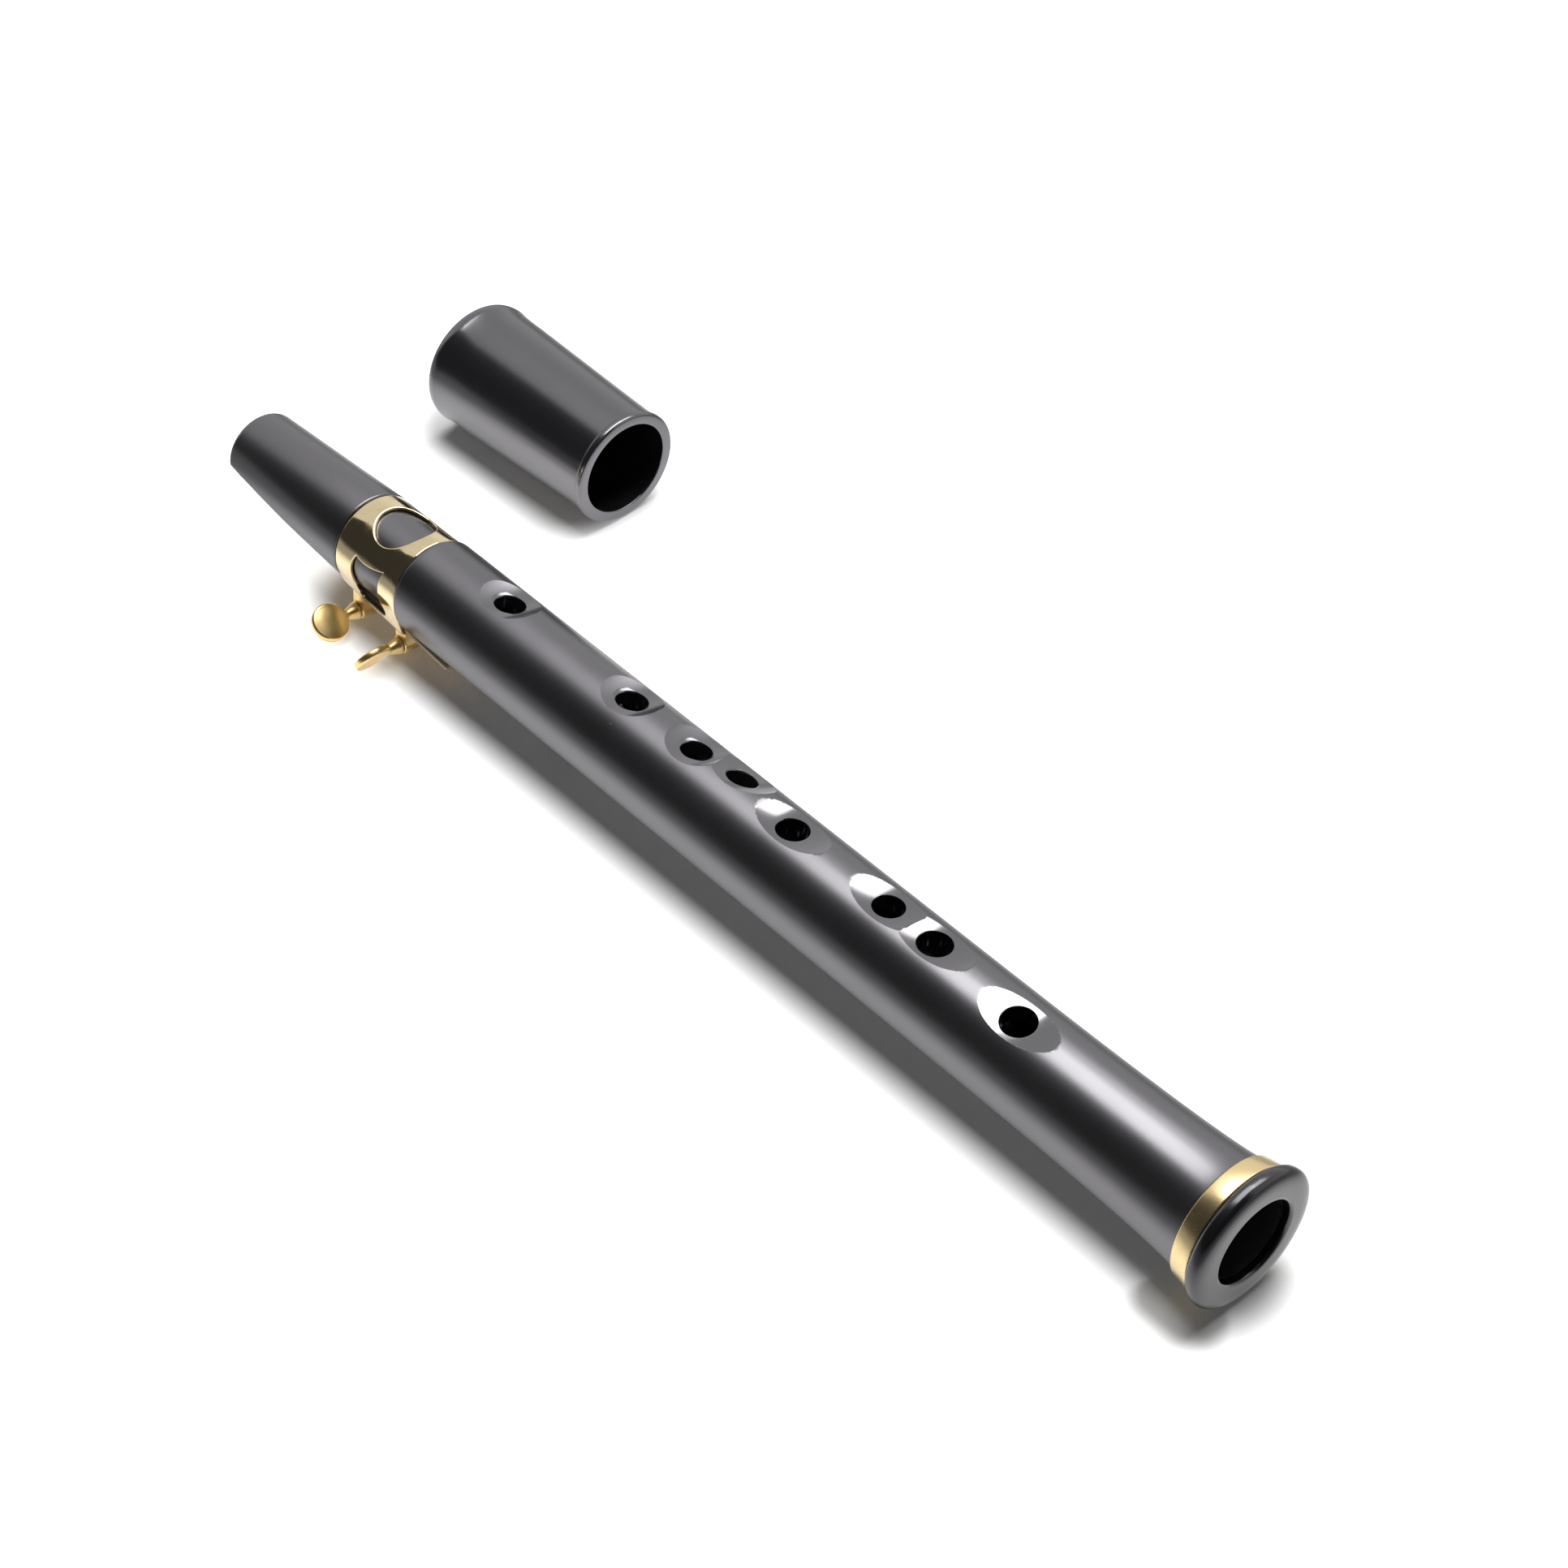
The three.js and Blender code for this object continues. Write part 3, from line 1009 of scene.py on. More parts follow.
@dataclass(frozen=True)
class PaintedShadowStretch:
    """A stretch of the table round which the glow is held back to paint the piece's shadow, as a line
    in plan with some width.
    """

    middle: Point
    half: Point
    spread: float = 1.0

    def distance(self, bench: Bench, spot: Node) -> NodeSocket:
        """Measures the distance in plan from the stretch, as a share of its spread.

        Args:
            bench: of the material.
            spot: node with the X and Y of the place.

        Returns:
            The distance.
        """
        squares = []
        for axis in range(2):
            off = bench.sum("ABSOLUTE", bench.sum("SUBTRACT", spot.outputs[axis], self.middle[axis]))
            past = bench.sum("MAXIMUM", bench.sum("SUBTRACT", off, self.half[axis]), 0.0)
            squares.append(bench.sum("MULTIPLY", past, past))
        return bench.sum("DIVIDE", bench.sum("SQRT", bench.sum("ADD", *squares)), self.spread)


@dataclass(frozen=True)
class WhiteStage:
    """White table or wall that shows as plain white clear of the pieces and their shadows.

    The glow reaches only what the eye, a reflection or a view through glass sees, and it
    starts at some distance from the pieces. Held back round the pieces, it paints a shadow
    there on top of the lamps' real shadows. Away from the pieces the table's colour darkens
    as painted shade, and its glow in reflections is a painted reflection, strongest near the
    pieces and fading farther out.
    """

    name: str
    albedo: float = 0.82
    # Painted shade: the table's colour is darker away from the pieces.
    far_albedo: float = 0.25
    roughness: float = 0.9
    # Painted reflection: glow seen only in reflections, at this level near the pieces and far_mirrored
    # far from them.
    mirrored: float = 0.55
    far_mirrored: float = 0.1
    umbra: float = 0.045
    shade_start: float = 0.0085
    shade_end: float = 0.0215
    mirror_start: float = 0.004
    mirror_end: float = 0.013
    fade_start: float = 0.022
    fade_end: float = 0.085
    # Stretches round which the glow is held back, painting the shadows of the pipe, the cap and the
    # bell.
    painted_shadows: tuple[PaintedShadowStretch, ...] = (
        PaintedShadowStretch((0.017, -0.0262), (0.126, 0.0)),
        PaintedShadowStretch((-0.1265, 0.0323), (0.0185, 0.003)),
        PaintedShadowStretch((0.145, -0.036), (0.003, 0.001), spread=0.5),
    )

    def material(self) -> Material:
        """Builds the finish.

        Returns:
            The material.
        """
        material, bench, shader = new_material(self.name)
        spot = bench.add("SeparateXYZ", Vector=bench.coordinates())
        nearest: object = 1.0
        for stretch in self.painted_shadows:
            nearest = bench.sum("MINIMUM", nearest, stretch.distance(bench, spot))
        # Painted shade: the table's colour darkens away from the pieces.
        far = bench.ramp(nearest, self.fade_start, self.fade_end)
        whites = [opaque((level, level, level)) for level in (self.albedo, self.far_albedo)]
        bench.fit(
            shader,
            Base_Color=bench.tint(far, *whites),
            Roughness=self.roughness,
            Specular_IOR_Level=0.0,
        )
        # Painted shadow: the glow the eye sees stays low near the pieces and rises to white away from
        # them.
        seen = bench.ramp(nearest, self.shade_start, self.shade_end, self.umbra)
        # Painted reflection: the glow that reflections see rises near the pieces and fades far from
        # them.
        rise = bench.ramp(nearest, self.mirror_start, self.mirror_end, self.umbra)
        level = bench.ramp(nearest, self.fade_start, self.fade_end, self.mirrored, self.far_mirrored)
        mirrored = bench.sum("MULTIPLY", rise, level)
        ray = bench.add("LightPath").outputs
        bounced = bench.sum("MAXIMUM", ray["Is Glossy Ray"], ray["Is Transmission Ray"])
        glow = bench.sum(
            "ADD",
            bench.sum("MULTIPLY", ray["Is Camera Ray"], seen),
            bench.sum("MULTIPLY", bounced, mirrored),
        )
        shine = bench.add("Emission", Color=(1.0, 1.0, 1.0, 1.0), Strength=glow)
        both = bench.add("AddShader")
        bench.feed(both.inputs[0], shader.outputs["BSDF"])
        bench.feed(both.inputs[1], shine.outputs["Emission"])
        bench.fit(material.node_tree.nodes["Material Output"], Surface=both.outputs["Shader"])
        return material


# Pieces


@dataclass(frozen=True)
class FingerHole:
    """A hole in the tube, with the scooped dish round it.

    It is turned round the tube from the top by some degrees, and its polish goes from 0 to 1.
    """

    station: float
    turn: float
    diameter: float
    dish_length: float
    dish_width: float
    polish: float = 1.0

    def frame(self) -> Matrix:
        """From the hole's own frame, with Z outwards, to the pipe's."""
        turned = Matrix.Rotation(-math.radians(self.turn), 4, "X")
        return Matrix.Translation((self.station, 0, 0)) @ turned


@dataclass
class PipeBody:
    """The moulding: mouthpiece beak, ligature groove, bored tube and flared bell end."""

    sizes: PipeSizes
    tube_edge: float = 0.5
    bore_radius: float = 6.5
    bore_steps: int = 16
    flare_length: float = 62.0
    flare_slope: float = 0.2
    flare_radius: float = 12.9
    beak_root_radius: float = 10.9
    beak_tip_radius: float = 9.05
    beak_tip_round: float = 1.5
    tip_wall: float = 2.2
    lay_length: float = 22.0
    tip_opening: float = 1.5
    dish_floor: float = 0.16
    dish_lift: float = 6.0
    dish_segments: int = 128
    dish_rings: int = 96
    scoop_depth: float = 0.03
    scoop_margin: float = 1.0
    plug_start: float = 2.0
    plug_reach: float = 5.0
    plug_sides: int = 48
    hole_edge: float = 0.12
    hole_round: float = 0.48
    hole_round_steps: int = 8
    hole_flare_rise: float = 0.35
    hole_flare: float = 0.8
    ring_pitch: float = 0.65
    sides: int = 192
    holes: tuple[FingerHole, ...] = (
        FingerHole(24.2, 8.8, 6.7, 14.4, 11.8, polish=0.4),
        FingerHole(64.1, 8.8, 6.8, 14.4, 11.8, polish=0.4),
        FingerHole(83.9, 11.0, 6.6, 14.4, 12.0, polish=0.4),
        FingerHole(95.8, 22.0, 6.8, 16.0, 11.2, polish=0.4),
        FingerHole(114.2, 3.5, 6.9, 19.6, 9.8),
        FingerHole(142.0, 2.4, 6.6, 19.6, 9.7),
        FingerHole(155.1, 1.2, 7.2, 19.6, 9.5),
        FingerHole(179.8, -10.4, 7.3, 19.4, 9.5),
        FingerHole(46.0, 180.0, 6.8, 16.0, 10.3),
    )

    @property
    def flare_start(self) -> float:
        """Station where the tube and its bore begin to widen."""
        return self.sizes.tube_length - self.flare_length

    def flare_share(self, x: float) -> float:
        """Finds how far along its curve the flare is.

        Args:
            x: station along the pipe.

        Returns:
            The share, from 0 to 1.
        """
        start, end = self.flare_start, self.sizes.tube_length
        if x <= start:
            return 0.0
        knee = end - (self.flare_radius - self.sizes.tube_radius) / self.flare_slope
        a = start - 2 * knee + end
        b = 2 * (knee - start)
        past = min(x, end) - start
        return (-b + math.sqrt(b * b + 4 * a * past)) / (2 * a)

    def tube_radius_at(self, x: float) -> float:
        """The tube's outer radius, without its dishes."""
        share = self.flare_share(x)
        return self.sizes.tube_radius + (self.flare_radius - self.sizes.tube_radius) * share * share

    def outline(self) -> Profile:
        """Draws the moulding's whole section.

        Returns:
            The section, from the tip's outside to the tip's inside.
        """
        size = self.sizes
        groove = -size.groove_width
        front = rounded([
            (size.beak_tip, 0.0, 0.0),
            (size.beak_tip, self.beak_tip_radius, self.beak_tip_round),
            (groove, self.beak_root_radius, self.tube_edge),
            (groove, size.groove_radius, 0.0),
            (0.0, size.groove_radius, 0.0),
            (0.0, size.tube_radius, self.tube_edge),
            (self.ring_pitch + self.tube_edge, size.tube_radius, 0.0),
        ])
        length = size.tube_length - self.tube_edge
        rings = int(length / self.ring_pitch)
        stations = [self.tube_edge + length * ring / rings for ring in range(2, rings + 1)]
        tube = [(x, self.tube_radius_at(x)) for x in stations]
        end = size.band_end + size.spigot_reach
        spigot = [
            (size.tube_length, size.spigot_radius), (end, size.spigot_radius), (end, size.spigot_bore),
        ]
        bore = []
        for step in range(1, self.bore_steps + 1):
            share = 1 - step / self.bore_steps
            x = self.flare_start + (end - self.flare_start) * share
            bore.append((x, self.bore_radius + (size.spigot_bore - self.bore_radius) * share * share))
        closed = size.beak_tip + self.tip_wall
        inside = [(closed, self.bore_radius), (closed, 0.0)]
        return front + tube + spigot + bore + inside

    def dish_depth(self, hole: FingerHole) -> float:
        """Depth of a dish, a little below the flat that would be as wide."""
        radius = self.sizes.tube_radius
        return radius - math.sqrt(radius**2 - (hole.dish_width / 2) ** 2) + self.dish_floor

    def dish_cutters(self) -> list[BMesh]:
        """Makes the ellipsoids that scoop the dishes out of the tube.

        Returns:
            One for each hole.
        """
        scoops = []
        for hole in self.holes:
            reach = self.dish_lift + self.dish_depth(hole)
            half_length = hole.dish_length / 2 / math.sqrt(1 - (self.dish_lift / reach) ** 2)
            half_width = hole.dish_width / 2 / math.sqrt(1 - (1 - self.dish_floor / reach) ** 2)
            size = Matrix.Diagonal((half_length, half_width, reach, 1.0))
            up = Matrix.Translation((0, 0, self.sizes.tube_radius + self.dish_lift))
            bm = bmesh.new()
            bmesh.ops.create_uvsphere(
                bm, u_segments=self.dish_segments, v_segments=self.dish_rings, radius=1.0,
            )
            scoops.append(moved(bm, hole.frame() @ up @ size))
        return scoops

    def hole_cutters(self) -> BMesh:
        """Makes the plugs for all the holes, each flaring a little at the dish.

        Returns:
            All the plugs, as one mesh.
        """
        plugs = []
        for hole in self.holes:
            floor = self.sizes.tube_radius - self.dish_depth(hole)
            edge, top = floor + self.hole_edge, floor + self.plug_reach
            radius = hole.diameter / 2
            mouth = radius + self.hole_flare
            profile = rounded([
                (self.plug_start, 0.0, 0.0),
                (self.plug_start, radius, 0.0),
                (edge, radius, self.hole_round),
                (edge + self.hole_flare_rise, mouth, 0.0),
                (top, mouth, 0.0),
                (top, 0.0, 0.0),
            ], self.hole_round_steps)
            plugs.append(moved(spun(profile, self.plug_sides), hole.frame() @ along_z()))
        return merged(plugs)

    def table_cutters(self) -> list[BMesh]:
        """Makes the cutters for the reed's flat and for the facing that falls away at the tip.

        Returns:
            Both cutters.
        """
        size = self.sizes
        wide, far = 4 * size.tube_radius, 2 * size.tube_radius
        seat_end = size.reed_butt + size.reed_slide + size.seat_gap
        onto = Matrix.Translation((0, 0, -size.table_depth)) @ Matrix.Rotation(size.tilt, 4, "Y")
        corner = Vector((size.beak_tip - far, -wide, -far))
        flat = block(corner, Vector((seat_end, wide, 0.0)))
        facing = block(corner, Vector((0.0, wide, 0.0)))
        fall = Matrix.Rotation(math.atan(self.tip_opening / self.lay_length), 4, "Y")
        moved(facing, Matrix.Translation((size.reed_tip + self.lay_length, 0, 0)) @ fall)
        return [moved(flat, onto), moved(facing, onto)]

    def build(self) -> BMesh:
        """Makes the moulding."""
        tools = [*self.dish_cutters(), self.hole_cutters(), *self.table_cutters()]
        return combined(spun(self.outline(), self.sides), [(Cut.TAKE_AWAY, tool) for tool in tools])

    def mark_scoops(self, thing: bpy.types.Object, pipe: Matrix) -> None:
        """Notes which faces lie in a dish, and how polished it is, for the finish.

        Args:
            thing: the finished moulding.
            pipe: from the pipe's frame to the shared frame.
        """
        back = pipe.inverted()
        mark = thing.data.attributes.new(SCOOP_MARK, "FLOAT", "FACE")
        for index, face in enumerate(thing.data.polygons):
            own = (back @ face.center) / MILLIMETRE
            depth = self.tube_radius_at(own.x) - math.hypot(own.y, own.z)
            on_tube = self.tube_edge < own.x < self.sizes.tube_length - self.scoop_margin
            nearest = min(self.holes, key=lambda hole: abs(hole.station - own.x))
            mark.data[index].value = nearest.polish if on_tube and depth > self.scoop_depth else 0.0

    def dress(self, place: Placement) -> list[bpy.types.Object]:
        """Builds the moulding and finishes it.

        Args:
            place: where the pieces stand.

        Returns:
            The moulding.
        """
        finish = MouldedBlack("satin_black_plastic", polish=0.65, seam=place.pipe)
        piece = Finished("pipe_moulding", "body", Body.PIPE, Slot.SATIN_BLACK, crease=20.0)
        thing = piece.settle(self.build(), place.pipe, finish.material())
        self.mark_scoops(thing, place.pipe)
        return [thing]


@dataclass
class BellEnd:
    """The gold band and the rounded black rim at the bell."""

    sizes: PipeSizes
    band_start_radius: float = 13.6
    band_end_radius: float = 14.3
    band_round: float = 0.35
    band_inner_round: float = 0.2
    rim_length: float = 3.9
    rim_radius: float = 15.4
    rim_step: float = 0.1
    rim_face: float = 1.5
    rim_face_radius: float = 10.2
    mouth_round: float = 0.8
    sides: int = 192

    @property
    def inner(self) -> float:
        """Radius of the band's and the rim's seat, round the spigot."""
        return self.sizes.spigot_radius + self.sizes.seat_gap

    def band(self) -> BMesh:
        """Makes the band, a slightly conical ring.

        Returns:
            The band.
        """
        rear, front = self.sizes.tube_length + self.sizes.seat_gap, self.sizes.band_end
        middle = (rear + front) / 2
        return spun(rounded([
            (middle, self.inner, 0.0),
            (rear, self.inner, self.band_inner_round),
            (rear, self.band_start_radius, self.band_round),
            (front, self.band_end_radius, self.band_round),
            (front, self.inner, self.band_inner_round),
            (middle, self.inner, 0.0),
        ]), self.sides)

    def rim(self) -> BMesh:
        """Makes the rim, a fat bead with a narrow flat front.

        Returns:
            The rim.
        """
        size = self.sizes
        rear = size.band_end + size.seat_gap
        front = size.band_end + self.rim_length
        seat_end = size.band_end + size.spigot_reach + size.seat_gap
        start = ((rear + seat_end) / 2, self.inner)
        foot = (rear, self.band_end_radius - self.rim_step)
        crest = ((rear + front) / 2, self.rim_radius)
        flat = (front, self.rim_face_radius + self.rim_face)
        mouth = (front - self.mouth_round, size.spigot_bore)
        line: Profile = [start, (rear, self.inner)]
        line += bend(foot, (rear, self.rim_radius), crest)
        line += bend(crest, (front, self.rim_radius), flat)
        line += bend((front, self.rim_face_radius), (front, size.spigot_bore), mouth)
        line += [(seat_end, size.spigot_bore), (seat_end, self.inner), start]
        return spun(line, self.sides)

    def dress(self, place: Placement, brass: Material, gloss: Material) -> list[bpy.types.Object]:
        """Builds the band and the rim and finishes them.

        Args:
            place: where the pieces stand.
            brass: the band's finish.
            gloss: the rim's finish.

        Returns:
            Both pieces.
        """
        band = Finished("bell_ring", "bell_band", Body.PIPE, Slot.BRASS)
        rim = Finished("bell_bead", "bell_rim", Body.PIPE, Slot.GLOSS_BLACK)
        return [
            band.settle(self.band(), place.pipe, brass),
            rim.settle(self.rim(), place.pipe, gloss),
        ]


@dataclass
class CaneReed:
    """The single reed, flat side up against its table."""

    sizes: PipeSizes
    tip_thickness: float = 0.35
    tip_bulge: float = 2.2
    vamp_length: float = 42.0
    vamp_power: float = 1.5
    vamp_crown: float = 0.012
    thinnest_share: float = 0.6
    edge_round: float = 0.12
    edge_angle: float = 50.0
    steps_along: int = 96
    steps_across: int = 24

    def thickness(self, x: float, y: float) -> float:
        """Finds the reed's depth, under the bark and under the scraped vamp.

        Args:
            x: station along the reed.
            y: distance from its middle.

        Returns:
            The depth.
        """
        size = self.sizes
        rise = size.reed_bark_radius - math.sqrt(size.reed_bark_radius**2 - y * y)
        bark = size.reed_thickness - rise
        share = (x - size.reed_tip) / self.vamp_length
        if share >= 1:
            return bark
        growth = (size.reed_thickness - self.tip_thickness) * share**self.vamp_power
        vamp = self.tip_thickness + growth - self.vamp_crown * y * y * share
        return min(bark, max(self.tip_thickness * self.thinnest_share, vamp))

    def build(self) -> BMesh:
        """Makes the reed.

        Returns:
            The reed, in its table's frame.
        """
        size = self.sizes
        bm = bmesh.new()
        bmesh.ops.create_grid(bm, x_segments=self.steps_along, y_segments=self.steps_across, size=1.0)
        for vert in bm.verts:
            along, across = (vert.co.x + 1) / 2, vert.co.y
            tip = size.reed_tip + self.tip_bulge * across * across
            x = size.reed_butt + (tip - size.reed_butt) * along
            vert.co = Vector((x, across * size.reed_half_width(x), -size.seat_gap))
        grown = bmesh.ops.extrude_face_region(bm, geom=bm.faces[:])
        for vert in new_points(grown):
            vert.co.z -= self.thickness(vert.co.x, vert.co.y)
        return eased(tidied(bm), self.edge_round, self.edge_angle)

    def dress(self, place: Placement) -> list[bpy.types.Object]:
        """Builds the reed and finishes it.

        Args:
            place: where the pieces stand.

        Returns:
            The reed.
        """
        piece = Finished("cane_reed", "reed", Body.REED, Slot.CANE)
        finish = CaneFibre("bare_cane", place.table)
        return [piece.settle(self.build(), place.table, finish.material())]


@dataclass(frozen=True)
class SnugLine:
    """The line that a strip follows at one station, from the top down the +Y side to the middle.

    It runs round the groove, straight to the reed's corner, round that corner and along the bark.
    """

    groove: float
    gap: float
    bark: float
    half: float
    bark_centre: float

    @classmethod
    def at_station(cls, sizes: PipeSizes, x: float) -> "SnugLine":
        """Sets out the line.

        Args:
            sizes: of the pipe.
            x: station along the pipe.

        Returns:
            The line at that station.
        """
        low = -sizes.table_at(x) - sizes.seat_gap - sizes.reed_thickness
        return cls(
            groove=sizes.groove_radius + sizes.seat_gap,
            gap=sizes.seat_gap,
            bark=sizes.reed_bark_radius,
            half=sizes.reed_half_width(x),
            bark_centre=low + sizes.reed_bark_radius,
        )

    @property
    def corner(self) -> Vector:
        """The reed's lower corner, as (Y, Z)."""
        return Vector((self.half, self.bark_centre - math.sqrt(self.bark**2 - self.half**2)))

    @property
    def leave(self) -> float:
        """Angle from the top at which the line leaves the groove."""
        towards = math.atan2(self.corner.x, self.corner.y)
        return towards - math.acos((self.groove - self.gap) / self.corner.length)

    @property
    def arrive(self) -> float:
        """Angle of the bark's edge."""
        return math.pi - math.asin(self.half / self.bark)

    @property
    def stretches(self) -> tuple[float, float, float, float]:
        """Lengths of the line's four stretches."""
        return (
            self.groove * self.leave,
            math.sqrt(self.corner.length**2 - (self.groove - self.gap) ** 2),
            self.gap * (self.arrive - self.leave),
            (self.bark + self.gap) * (math.pi - self.arrive),
        )

    @property
    def half_round(self) -> float:
        """Length of the whole line."""
        return sum(self.stretches)

    def follow(self, run: float) -> tuple[Vector, Vector]:
        """Goes some length along the line.

        Args:
            run: how far, from the top.

        Returns:
            The point and the direction outwards, each as (Y, Z).
        """
        groove, straight, corner, _ = self.stretches
        if run <= groove:
            return self.round_point(Vector((0.0, 0.0)), self.groove, run / self.groove)
        run -= groove
        if run <= straight:
            point, outwards = self.round_point(Vector((0.0, 0.0)), self.groove, self.leave)
            return point + Vector((outwards.y, -outwards.x)) * run, outwards
        run -= straight
        if run <= corner:
            return self.round_point(self.corner, self.gap, self.leave + run / self.gap)
        run -= corner
        reach = self.bark + self.gap
        return self.round_point(Vector((0.0, self.bark_centre)), reach, self.arrive + run / reach)

    @staticmethod
    def round_point(centre: Vector, radius: float, angle: float) -> tuple[Vector, Vector]:
        """A point on an arc, by its angle from the top, and the direction outwards."""
        outwards = Vector((math.sin(angle), math.cos(angle)))
        return centre + outwards * radius, outwards


@dataclass
class Ligature:
    """The windowed gold band that holds the reed, with its posts and thumbscrews.

    The side window's corners and pulls are offsets (along, down) from the corner where its top
    meets the strap in front of it or behind it. The stem's corners are (offset, radius, rounding).
    """

    sizes: PipeSizes
    thickness: float = 0.6
    rolled_edge: float = 0.28
    rolled_segments: int = 5
    rolled_angle: float = 45.0
    bend_step: float = 0.45
    top_window_length: float = 12.4
    top_window_round: float = 14.0
    top_window_sides: int = 72
    side_window_top: float = 11.9
    side_window_bottom: float = 23.6
    window_point: Point = (0.3, 0.4)
    window_shoulder: Point = (-0.4, -0.6)
    window_top_pull: Point = (4.0, 1.5)
    window_rear_pull: Point = (-2.0, 4.2)
    window_front_pull: Point = (-1.6, 3.6)
    window_corner_width: float = 1.9
    window_corner_height: float = 2.8
    split_width: float = 5.0
    screw_radius: float = 1.2
    running_gap: float = 0.3
    post_radius: float = 2.2
    post_length: float = 4.8
    post_round: float = 0.4
    post_foot_width: float = 3.6
    post_foot_inset: float = 0.35
    post_ease: float = 0.16
    post_ease_angle: float = 40.0
    cut_past: float = 1.0
    screw_tail: float = 1.2
    screw_point: float = 0.3
    thread_pitch: float = 0.5
    thread_depth: float = 0.16
    collar_radius: float = 2.0
    collar_length: float = 1.2
    collar_crest: float = 0.3
    collar_round: float = 0.15
    neck_length: float = 1.4
    stem_tip: Corner = (1.0, 0.45, 0.0)
    stem_root: Corner = (-1.6, 0.93, 1.0)
    stem_waist: Corner = (0.1, 1.17, 1.5)
    stem_shoulder: Corner = (0.2, 1.725, 1.2)
    paddle_radius: float = 4.4
    paddle_thickness: float = 1.8
    paddle_edge: float = 0.8
    paddle_rim: float = 0.108
    paddle_crown: float = 0.25
    paddle_crown_share: float = 0.6
    paddle_sides: int = 96
    screw_ease: float = 0.12
    screw_ease_angle: float = 50.0
    front_turn: float = 37.7
    rear_turn: float = -57.0
    points_round: int = 160
    bark_steps: int = 8
    rod_sides: int = 48

    @property
    def front(self) -> float:
        """Station of the band's front edge."""
        return -self.sizes.groove_width + self.sizes.side_clearance

    @property
    def rear(self) -> float:
        """Station of the band's rear edge."""
        return -self.sizes.side_clearance

    @property
    def window_front(self) -> float:
        """Station where the windows begin."""
        return self.front + self.sizes.front_strap

    @property
    def window_rear(self) -> float:
        """Station where the windows end."""
        return self.rear - self.sizes.rear_strap

    @property
    def post_inner(self) -> float:
        """Where a post begins, out from the middle."""
        return self.split_width / 2 + self.sizes.seat_gap

    @property
    def post_outer(self) -> float:
        """Where a post ends, out from the middle."""
        return self.post_inner + self.post_length

    @property
    def collar_start(self) -> float:
        """Where the screw's collar begins, out from the middle."""
        return self.post_outer + self.sizes.seat_gap

    @property
    def neck_start(self) -> float:
        """Where the screw's neck begins, out from the middle."""
        return self.collar_start + self.collar_length

    @property
    def paddle_centre(self) -> float:
        """The paddle's middle, out from the middle of the pipe."""
        return self.neck_start + self.neck_length + self.paddle_radius

    def section(self, x: float, grown: float) -> list[Vector]:
        """Sets out points round the groove, down to the table, and round the reed's bark.

        Args:
            x: station along the pipe.
            grown: how far outside the snug line.

        Returns:
            The points.
        """
        size = self.sizes
        seat = -size.table_at(x)
        half = size.reed_half_width(x)
        rounds = [(0.0, 0.0, size.groove_radius + size.seat_gap + grown, seat)]
        for step in range(-self.bark_steps, self.bark_steps + 1):
            y = half * step / self.bark_steps
            rise = size.reed_bark_radius - math.sqrt(size.reed_bark_radius**2 - y * y)
            low = seat - size.seat_gap - size.reed_thickness + rise
            rounds.append((y, low, size.seat_gap + grown, -math.inf))
        points = []
        for y, z, radius, lowest in rounds:
            for step in range(self.points_round):
                angle = 2 * math.pi * step / self.points_round
                spot = Vector((x, y + radius * math.sin(angle), z + radius * math.cos(angle)))
                if spot.z >= lowest:
                    points.append(spot)
        return points

    def space(self, grown: float) -> BMesh:
        """The space inside the band, grown, and reaching past both its ends."""
        front, rear = self.front - self.cut_past, self.rear + self.cut_past
        return hull(self.section(front, grown) + self.section(rear, grown))

    def side_window(self) -> Profile:
        """Draws a side window in the flat strip, with a pointed upper front corner.

        Returns:
            Its outline.
        """
        front, rear = self.window_front, self.window_rear
        top, bottom = self.side_window_top, self.side_window_bottom
        low, turn = bottom - self.window_corner_height, self.window_corner_width
        point, top_pull, front_pull = [
            (front + along, top + down)
            for along, down in (self.window_point, self.window_top_pull, self.window_front_pull)
        ]
        shoulder, rear_pull = [
            (rear + along, top + down) for along, down in (self.window_shoulder, self.window_rear_pull)
        ]
        outline = bend(point, top_pull, shoulder)
        outline += bend(shoulder, rear_pull, (rear, low))[1:]
        outline += bend((rear, low), (rear, bottom), (rear - turn, bottom))[1:]
        outline += bend((front + turn, bottom), (front, bottom), (front, low))
        outline += bend((front, low), front_pull, point)[1:-1]
        return outline

    def windows(self) -> list[BMesh]:
        """Makes plugs for the strip's three windows.

        Returns:
            The plugs.
        """
        height = 4 * self.thickness
        middle = Matrix.Translation(((self.window_front + self.window_rear) / 2, 0, 0))
        oval = Matrix.Diagonal((self.top_window_length / 2, self.top_window_round / 2, 1.0, 1.0))
        bm = bmesh.new()
        bmesh.ops.create_cone(
            bm, cap_ends=True, segments=self.top_window_sides, radius1=1.0, radius2=1.0, depth=height,
        )
        plugs = [moved(bm, middle @ oval)]
        for side in (1, -1):
            outline = [(x, side * s) for x, s in self.side_window()]
            plugs.append(moved(slab(outline, height), Matrix.Translation((0, 0, -height / 2))))
        return plugs

